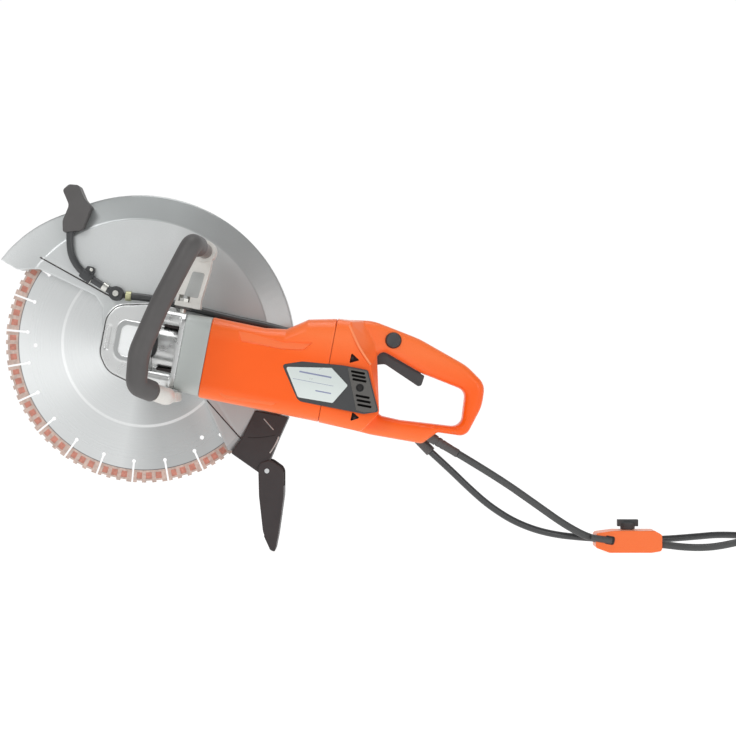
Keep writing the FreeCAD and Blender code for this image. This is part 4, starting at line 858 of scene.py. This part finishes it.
# Plain bars stand in for the print: from x, to x, height above the axis, thickness. A bar
# lies lower, the further behind PRINT_LEVEL_X it starts.
PRINT_BARS = [(201, 240, 1.5, 1.8), (195, 244, -8.5, 0.5), (224, 243, -16, 1.5)]
PRINT_LEVEL_X = 220
PRINT_SLOPE = 0.06
SLIT_HEIGHTS = (14.4, 10, 5.6, -12.8, -18, -23.2)
SLIT_START = (261.5, 14)       # x and z of a point on the line where the slits start
SLIT_SLANT = 0.40
SLIT_LENGTH = 17
SLIT_W = 2.8
DIMPLE_R = 4.9
DIMPLE_FLOOR_Y = 48.2


def bar(x0, x1, z, width, radius):
    """Corners of a level bar at height z."""
    low, high = z - width / 2, z + width / 2
    return [(x0, low, radius), (x0, high, radius), (x1, high, radius), (x1, low, radius)]


def on_dimple(side, y):
    return (DIMPLE_AT[0], side * y, DIMPLE_AT[1])


def cover_openings(side):
    """Cutters for a grille's slits, each starting a little behind the one above, and its dimple."""
    cutters = []
    for z in SLIT_HEIGHTS:
        start = SLIT_START[0] + (SLIT_START[1] - z) * SLIT_SLANT
        slit = bar(start, start + SLIT_LENGTH, z, SLIT_W, 1)
        cutters.append(plate("cutter", slit, *span(side, 44, OUTSIDE_Y), SHARP))
    cutters.append(rod("cutter", DIMPLE_R, on_dimple(side, DIMPLE_FLOOR_Y),
                       on_dimple(side, OUTSIDE_Y)))
    return cutters


def make_side_covers():
    for side, word in SIDES:
        cover = plate("side_cover_" + word + "_form", COVER_OUTLINE,
                      *span(side, COVER_BACK_Y, 50.5), 1.1)
        panel = plate("grille_panel_" + word, PANEL_OUTLINE, *span(side, 49, 51.1), 0.5)
        for piece in (cover, panel):
            carve(piece, *cover_openings(side))
        finish(cover, "saw_body", "black_plastic", "side_cover_" + word)
        finish(panel, "saw_body", "black_plastic", look=PANEL_LOOK)
        screw = rod("cover_screw_" + word, 3.8, on_dimple(side, DIMPLE_FLOOR_Y - 0.8),
                    on_dimple(side, DIMPLE_FLOOR_Y + 0.8), edge=0.6)
        finish(screw, "saw_body", "black_plastic", look=DARK_LOOK)
        badge = plate("badge_" + word, PLATE_OUTLINE, *span(side, 50.3, 51.3), 0.45)
        marks = []
        for x0, x1, z, width in PRINT_BARS:
            drop = (x0 - PRINT_LEVEL_X) * PRINT_SLOPE
            marks.append(plate("mark", bar(x0, x1, z - drop, width, 0.1),
                               *span(side, 50.8, 51.36), 0.02))
        print_lines = joined("badge_lines_" + word, marks)
        finish(badge, "saw_body", "plate_face", *(["name_plates"] if side < 0 else []))
        finish(print_lines, "saw_body", "plate_face", look=PRINT_LOOK)


TRIGGER_WEB = [(290, 30, 2), (296, 43, 3), (303, 43, 2), (345, 29.2, 2), (345, 20, 3),
               (302, 33, 4)]


def make_controls():
    moulded("trigger_lever", 0.5, 4)
    web = plate("trigger_web", TRIGGER_WEB, -7.2, 7.2, 0.6)
    finish(web, "trigger", "black_plastic")
    relook(BLACKED_STEEL_AND_SHADE_LOOK, "handle_screws", "housing_screws")
    profile = [(LOCK_R - 1.4, 0), (LOCK_R, 1.2), (LOCK_R, 7), (LOCK_R - 0.5, 9.4),
               (LOCK_R - 1.6, 10.4), (LOCK_R - 2.6, 10.2), (4.5, 9.5), (0, 9.3)]
    base = (LOCK_AT[0], LOCK_BASE_Y, LOCK_AT[1])
    button = turned("lock_button_form", profile, base, (0, -1, 0), BODY)
    finish(button, "lock", "black_plastic", "lock_button")


# ---- castings and the front handle ----
GRIP_LINE = [(81.2, -100, 110.6), (79.5, -115, 111.2), (77.3, -133, 112), (69, -135, 96.6),
             (56, -135, 71.6), (42, -135, 45), (34, -135, 27.5), (24, -135, 4), (16.4, -135, -13.5),
             (14.8, -135, -32), (13.4, -135, -50.5), (23, -126, -55), (31.5, -118, -58.7)]
LUG_SLEEVE_LINE = [(32.5, -117, -59.2), (41, -109, -62.7), (44, -106, -64), (44, -90, -64)]
LUG_SLEEVE_R = 10.2
NECK_GAP = 24.5        # where the bearing neck meets the screw bosses
NECK_X = (28, 79)
SEAL_OUTLINE = [(-38.9, -21.5, 24), (-38.9, 23.5, 24), (-29.2, 40, 20), (10, 49, 20), (22, 49, 5),
                (22, -49, 5), (4.2, -49, 25), (-25.4, -41, 28)]
RING_OUTLINE = [(-21.8, -23.8, 12), (-21.8, 23.8, 12), (19.8, 23.8, 12), (19.8, -23.8, 12)]
RING_INSIDE = [(-17.2, -19.2, 8), (-17.2, 19.2, 8), (15.2, 19.2, 8), (15.2, -19.2, 8)]
PANEL_ON_ARM = [(46, 66, 2), (51, 97, 2), (66, 97, 2), (63, 66, 2)]
# Thin facings on the castings: name, outline, holes, the two Y planes, edge, look.
FACINGS = [("gear_seal", SEAL_OUTLINE, [], -43.3, -42.6, 0.3, DARK_LOOK),
           # The grey ring facing is painted shade in the groove round the bearing ring.
           ("ring_groove_shade", RING_OUTLINE, [RING_INSIDE], -48.9, -48.2, 0.3, GROOVE_SHADE_LOOK),
           ("ring_pad", RING_INSIDE, [], -47.4, -46.6, 0.3, BRIGHT_LOOK),
           ("bracket_panel", PANEL_ON_ARM, [], -22.6, -21.4, 0.5, ARM_LOOK)]


def make_castings():
    moulded("gear_housing", 0.7, 4)
    moulded("motor_collar", 0.8, 4)
    relook(BRACKET_LOOK, "upper_bracket", "lower_bracket")
    moulded("bearing_flange", 0.7, 3)
    relook(BROWNED_LOOK, "front_handle_tube")
    for z0 in (-NECK_GAP - 5, NECK_GAP - 1):
        front, rear = NECK_X
        corners = [(front, z0 + 1, 2), (front, z0 + 5, 2), (rear, z0 + 6, 2), (rear, z0, 2)]
        gap = plate("neck_shadow", corners, -13, -5, 1.5)
        finish(gap, "saw_body", "cast_alloy", look=BLACKED_STEEL_AND_SHADE_LOOK)
    sleeve = sweep("lug_sleeve", spline_points(LUG_SLEEVE_LINE, 8), lambda travelled: LUG_SLEEVE_R)
    finish(sleeve, "saw_body", "cast_alloy", look=BRACKET_LOOK)
    for name, corners, holes, y0, y1, edge, look in FACINGS:
        facing = plate(name, corners, y0, y1, edge, holes=holes)
        finish(facing, "saw_body", "cast_alloy", look=look)


GRIP_WAIST = 0.5       # how much the grip thins in its upper half
GRIP_RIM = 3.0         # how far its rounded rims reach along it
GRIP_RIM_DROP = 2.2


def grip_radius(length):
    """The grip thins a little in its upper half and has a rounded rim at each end."""
    def radius_at(travelled):
        from_end = min(travelled, length - travelled)
        if from_end < GRIP_RIM:
            rise = math.sqrt(1 - (1 - from_end / GRIP_RIM) ** 2)
            return GRIP_R - GRIP_RIM_DROP * (1 - rise)
        return GRIP_R - GRIP_WAIST * math.sin(math.pi * min(travelled / length * 1.5, 1.0))
    return radius_at


def make_front_handle():
    line = spline_points(GRIP_LINE, 14)
    grip = sweep("front_handle_grip_form", line, grip_radius(line_length(line)), sides=40)
    finish(grip, "saw_body", "rubber", "front_handle_grip")


# ---- guard and water line ----
# Routes of (x, z) points lie in one Y plane. All of them are in the BLADE frame.
LINE_Y = 46.0          # plane of the water line
LINE_R = 4.5
GUARD_LINE = [(-90, 146), (-92, 122), (-86, 100), (-68, 81), (-38, 64)]
SUPPLY_LINE = [(-20, 46, 58.5), (8, 46, 57), (50, 46, 46), (112, 46.5, 30), (160, 46, 20.6),
               (187.7, 40.6, 12.3), (201.7, 38.6, 10.3)]
SUPPLY_BEND = ((64, 46, 42), (-10, 46, 58))
HOSE_CLIP = ((-76, LINE_Y, 88.5), (-63.5, LINE_Y, 78))
CLIP_STUD = ((-63.5, LINE_Y - 5.5, 91), (-63.5, LINE_Y + 2, 91))
CLIP_TAB = [(-74, 85, 2), (-69, 96, 2), (-59, 94, 3.5), (-62, 84, 3)]
TEE_FERRULE = ((-21.5, LINE_Y, 58.7), (-14.5, LINE_Y, 58.1))
GUARD_FACE_Y = 52.3
FOLD_Y = 52.2
FOLD_R = 0.8
RIB_Y = 49.6
# Black rods along two folds of the guard: painted shade in the folds.
GUARD_FOLD_SHADES = [("guard_fold_shade_front", [(-129, 107), (-86, 83), (-43, 59)]),
               ("guard_fold_shade_rear", [(79, -71.5), (100, -95.5), (121, -119)])]
# Raised lines on the deflector: name, plane, route, radius, look. The light grey ones are painted
# highlights along its edges.
DEFLECTOR_LINES = [
    ("deflector_rib_top", RIB_Y, [(150, -94), (156, -101), (162, -108)], 0.7, EDGE_HIGHLIGHT_LOOK),
    ("deflector_rib_cross", RIB_Y, [(130, -117.5), (146, -119), (165, -114.5)], 0.5, DARK_LOOK),
    ("deflector_lip", RIB_Y + 0.4, [(168.5, -116.5), (165.5, -126), (157.5, -137)], 1.0,
     EDGE_HIGHLIGHT_LOOK)]
FLAP_PIVOT = (154.0, -159.0)
FLAP_PIN_R = 3.0
FLAP_PIN_PLAY = 0.2


def in_plane(route, y):
    return [Vector((x, y, z)) for x, z in route]


def make_guard():
    moulded("blade_guard", 1.1, 4)
    moulded("spray_deflector", 0.7, 3)
    pin_ends = [(FLAP_PIVOT[0], BLADE_Y + side * 40, FLAP_PIVOT[1]) for side, _ in SIDES]
    moulded("spray_flap", 0.7, 3, [rod("cutter", FLAP_PIN_R + FLAP_PIN_PLAY, *pin_ends, BLADE)])
    moulded("nozzle_boot", 0.6, 5)
    moulded("water_tee", 0.4, 3)


def make_guard_hose():
    line = spline_points(in_plane(GUARD_LINE, LINE_Y), 14)
    hose = sweep("guard_hose_form", line, lambda travelled: LINE_R)
    finish(hose, "guard", "hose_rubber", "guard_hose")
    clip = rod("hose_clip_form", 6.5, *HOSE_CLIP, BLADE, 1.2)
    finish(clip, "guard", "black_plastic")
    stud = rod("hose_clip_stud", 2.2, *CLIP_STUD, BLADE, 0.5)
    finish(stud, "guard", "zinc_screws")
    tab = plate("hose_clip_tab", CLIP_TAB, LINE_Y - 3, GUARD_FACE_Y, 0.6, BLADE)
    finish(tab, "guard", "black_plastic")
    ferrule = rod("tee_ferrule", 6.0, *TEE_FERRULE, BLADE, 0.6)
    finish(ferrule, "guard", "zinc_screws", look=CLIP_LOOK)


def make_guard_lines():
    for name, route in GUARD_FOLD_SHADES:
        fold = sweep(name, in_plane(route, FOLD_Y), lambda travelled: FOLD_R, sides=8)
        finish(fold, "guard", "guard_paint", look=BLACKED_STEEL_AND_SHADE_LOOK)
    for name, y, route, radius, look in DEFLECTOR_LINES:
        line = spline_points(in_plane(route, y), 8)
        rib = sweep(name, line, lambda travelled: radius, sides=8)
        finish(rib, "guard", "deflector_rubber", look=look)


def make_supply_hose():
    hose = sweep("supply_hose_form", spline_points(SUPPLY_LINE, 16), lambda travelled: LINE_R)
    hose.data.materials.append(LOOKS["hose_rubber"])
    hose.data.shade_smooth()
    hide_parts("supply_hose")
    start, end = [tuple(BLADE @ Vector(point)) for point in SUPPLY_BEND]
    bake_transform(hose)
    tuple(start)
    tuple(end)


# ---- blade ----
SEGMENTS = 24
FIRST_SLOT = 9.5
SLOT_W = 2.6
SEGMENT_CELLS = [0.0, 0.10, 0.26, 0.38, 0.56, 0.68, 0.86, 1.0]      # parts of its width
SEGMENT_RADII = [159.6, 162.2, 170.2, 172.6, BLADE_R]
COLUMNS = len(SEGMENT_CELLS) - 1
ROWS = len(SEGMENT_RADII) - 1
SEGMENT_HALF_T = 1.6
PIT_HALF_T = 1.05
PIT_COLUMNS = (1, 3, 5)
PIT_ROW = 1
NOTCH_ROW = 3


def cell_thickness(column, row):
    """Half thickness of a cell of a segment: pits in its faces and notches in its rim."""
    if not (0 <= column < COLUMNS and 0 <= row < ROWS):
        return 0.0
    if column in PIT_COLUMNS and row == NOTCH_ROW:
        return 0.0
    if column in PIT_COLUMNS and row == PIT_ROW:
        return PIT_HALF_T
    return SEGMENT_HALF_T


def add_segment(mesh, start, width):
    """One rim segment from the angle start, in degrees, as cells with walls between them."""
    known = {}

    def corner(place, height):
        if (place, height) not in known:
            angle = math.radians(start + width * SEGMENT_CELLS[place[0]])
            radius = SEGMENT_RADII[place[1]]
            known[place, height] = mesh.verts.new((radius * math.cos(angle), BLADE_Y + height,
                                                   radius * math.sin(angle)))
        return known[place, height]

    def wall(first, second, cell, beside):
        """Faces between two neighbouring cells, where one of them is thicker."""
        thin, thick = sorted((cell_thickness(*cell), cell_thickness(*beside)))
        steps = [(-thick, thick)] if thin == 0 else [(-thick, -thin), (thin, thick)]
        for low, high in steps:
            if high > low:
                mesh.faces.new((corner(first, low), corner(second, low),
                                corner(second, high), corner(first, high)))

    for i in range(COLUMNS + 1):
        for j in range(ROWS + 1):
            half = cell_thickness(i, j)
            around = ((i, j), (i + 1, j), (i + 1, j + 1), (i, j + 1))
            for height in (-half, half) if half else ():
                face = mesh.faces.new([corner(place, height) for place in around])
                face.material_index = int(half == PIT_HALF_T)
            if j < ROWS:
                wall((i, j), (i, j + 1), (i - 1, j), (i, j))
            if i < COLUMNS:
                wall((i, j), (i + 1, j), (i, j - 1), (i, j))


def make_segments():
    mesh = bmesh.new()
    pitch = 360 / SEGMENTS
    margin = math.degrees(SLOT_W / 2 / BLADE_R)
    for index in range(SEGMENTS):
        add_segment(mesh, FIRST_SLOT + pitch * index + margin, pitch - 2 * margin)
    segments = new_piece("blade_segments_form", mesh, BLADE)
    segments.data.materials.append(LOOKS["segment_matrix"])
    segments.data.materials.append(PIT_LOOK)
    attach(segments, "blade_drive")
    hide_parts("blade_segments")


# ---- stage and light ----
# The floor lies just under the saw and reaches past every view's horizon; in metres.
FLOOR_REACH = 60.0
FLOOR_Z = -0.0005
LIT_AT = (0.05, 0.0, 0.22)
# Soft round lights: name, place, width, power.
LIGHTS = [("key", (-1.0, -1.9, 1.5), 1.0, 14), ("fill", (1.4, -1.7, 0.6), 0.9, 5),
          ("top", (0.1, -0.2, 2.0), 1.2, 12)]


def area_light(name, place, width, power):
    data = bpy.data.lights.new(name, "AREA")
    data.shape = "DISK"
    data.size = width
    data.energy = power
    light = new_object(name, data)
    light.location = place
    light.rotation_euler = (Vector(LIT_AT) - Vector(place)).to_track_quat("-Z", "Y").to_euler()


def make_floor():
    mesh = bmesh.new()
    corners = [(x * FLOOR_REACH, y * FLOOR_REACH, FLOOR_Z)
               for x, y in ((-1, -1), (1, -1), (1, 1), (-1, 1))]
    mesh.faces.new([mesh.verts.new(corner) for corner in corners])
    floor = object_of("floor", mesh)
    material, _, surface, _ = shader("floor_paper")
    set_inputs(surface, Base_Color=(0.3, 0.3, 0.3, 1), Roughness=1.0, Specular_IOR_Level=0.0,
               Emission_Color=(1, 1, 1, 1), Emission_Strength=0.92)
    floor.data.materials.append(material)


def make_room():
    """A pale studio that is darker overhead, and lightest behind the saw and beside it."""
    world = bpy.data.worlds.new("studio")
    bpy.context.scene.world = world
    world.use_nodes = True
    tree = world.node_tree
    background = tree.nodes["Background"]
    direction = tree.nodes.new("ShaderNodeTexCoord").outputs["Generated"]
    parts = tree.nodes.new("ShaderNodeSeparateXYZ")
    tree.links.new(direction, parts.inputs[0])
    overhead = spread(tree, parts.outputs["Z"], 0.0, 1.0, 0.15, 0.65)
    sideways = mixed(tree, spread(tree, parts.outputs["X"], 0.0, 1.0, 0.2, 0.8),
                     (0.62, 0.62, 0.62), (1.0, 1.0, 1.0))
    room = mixed(tree, overhead, sideways, (0.2, 0.2, 0.2))
    behind = spread(tree, parts.outputs["Y"], 0.0, 1.0, 0.3, 0.8)
    tree.links.new(mixed(tree, behind, room, (1.02, 1.02, 1.02)), background.inputs["Color"])
    for light in LIGHTS:
        area_light(*light)
    bpy.context.scene.view_settings.view_transform = "Standard"


# ---- the whole saw ----
for node, piece in NODES.items():
    piece.data.materials.clear()
    piece.data.materials.append(LOOKS[SLOTS[node]])

make_camera()
make_cords()
make_motor_housing()
make_rear_handle()
make_side_covers()
make_controls()
make_castings()
make_front_handle()
make_guard()
make_guard_hose()
make_guard_lines()
make_supply_hose()
make_segments()
make_floor()
make_room()

bpy.context.view_layer.update()
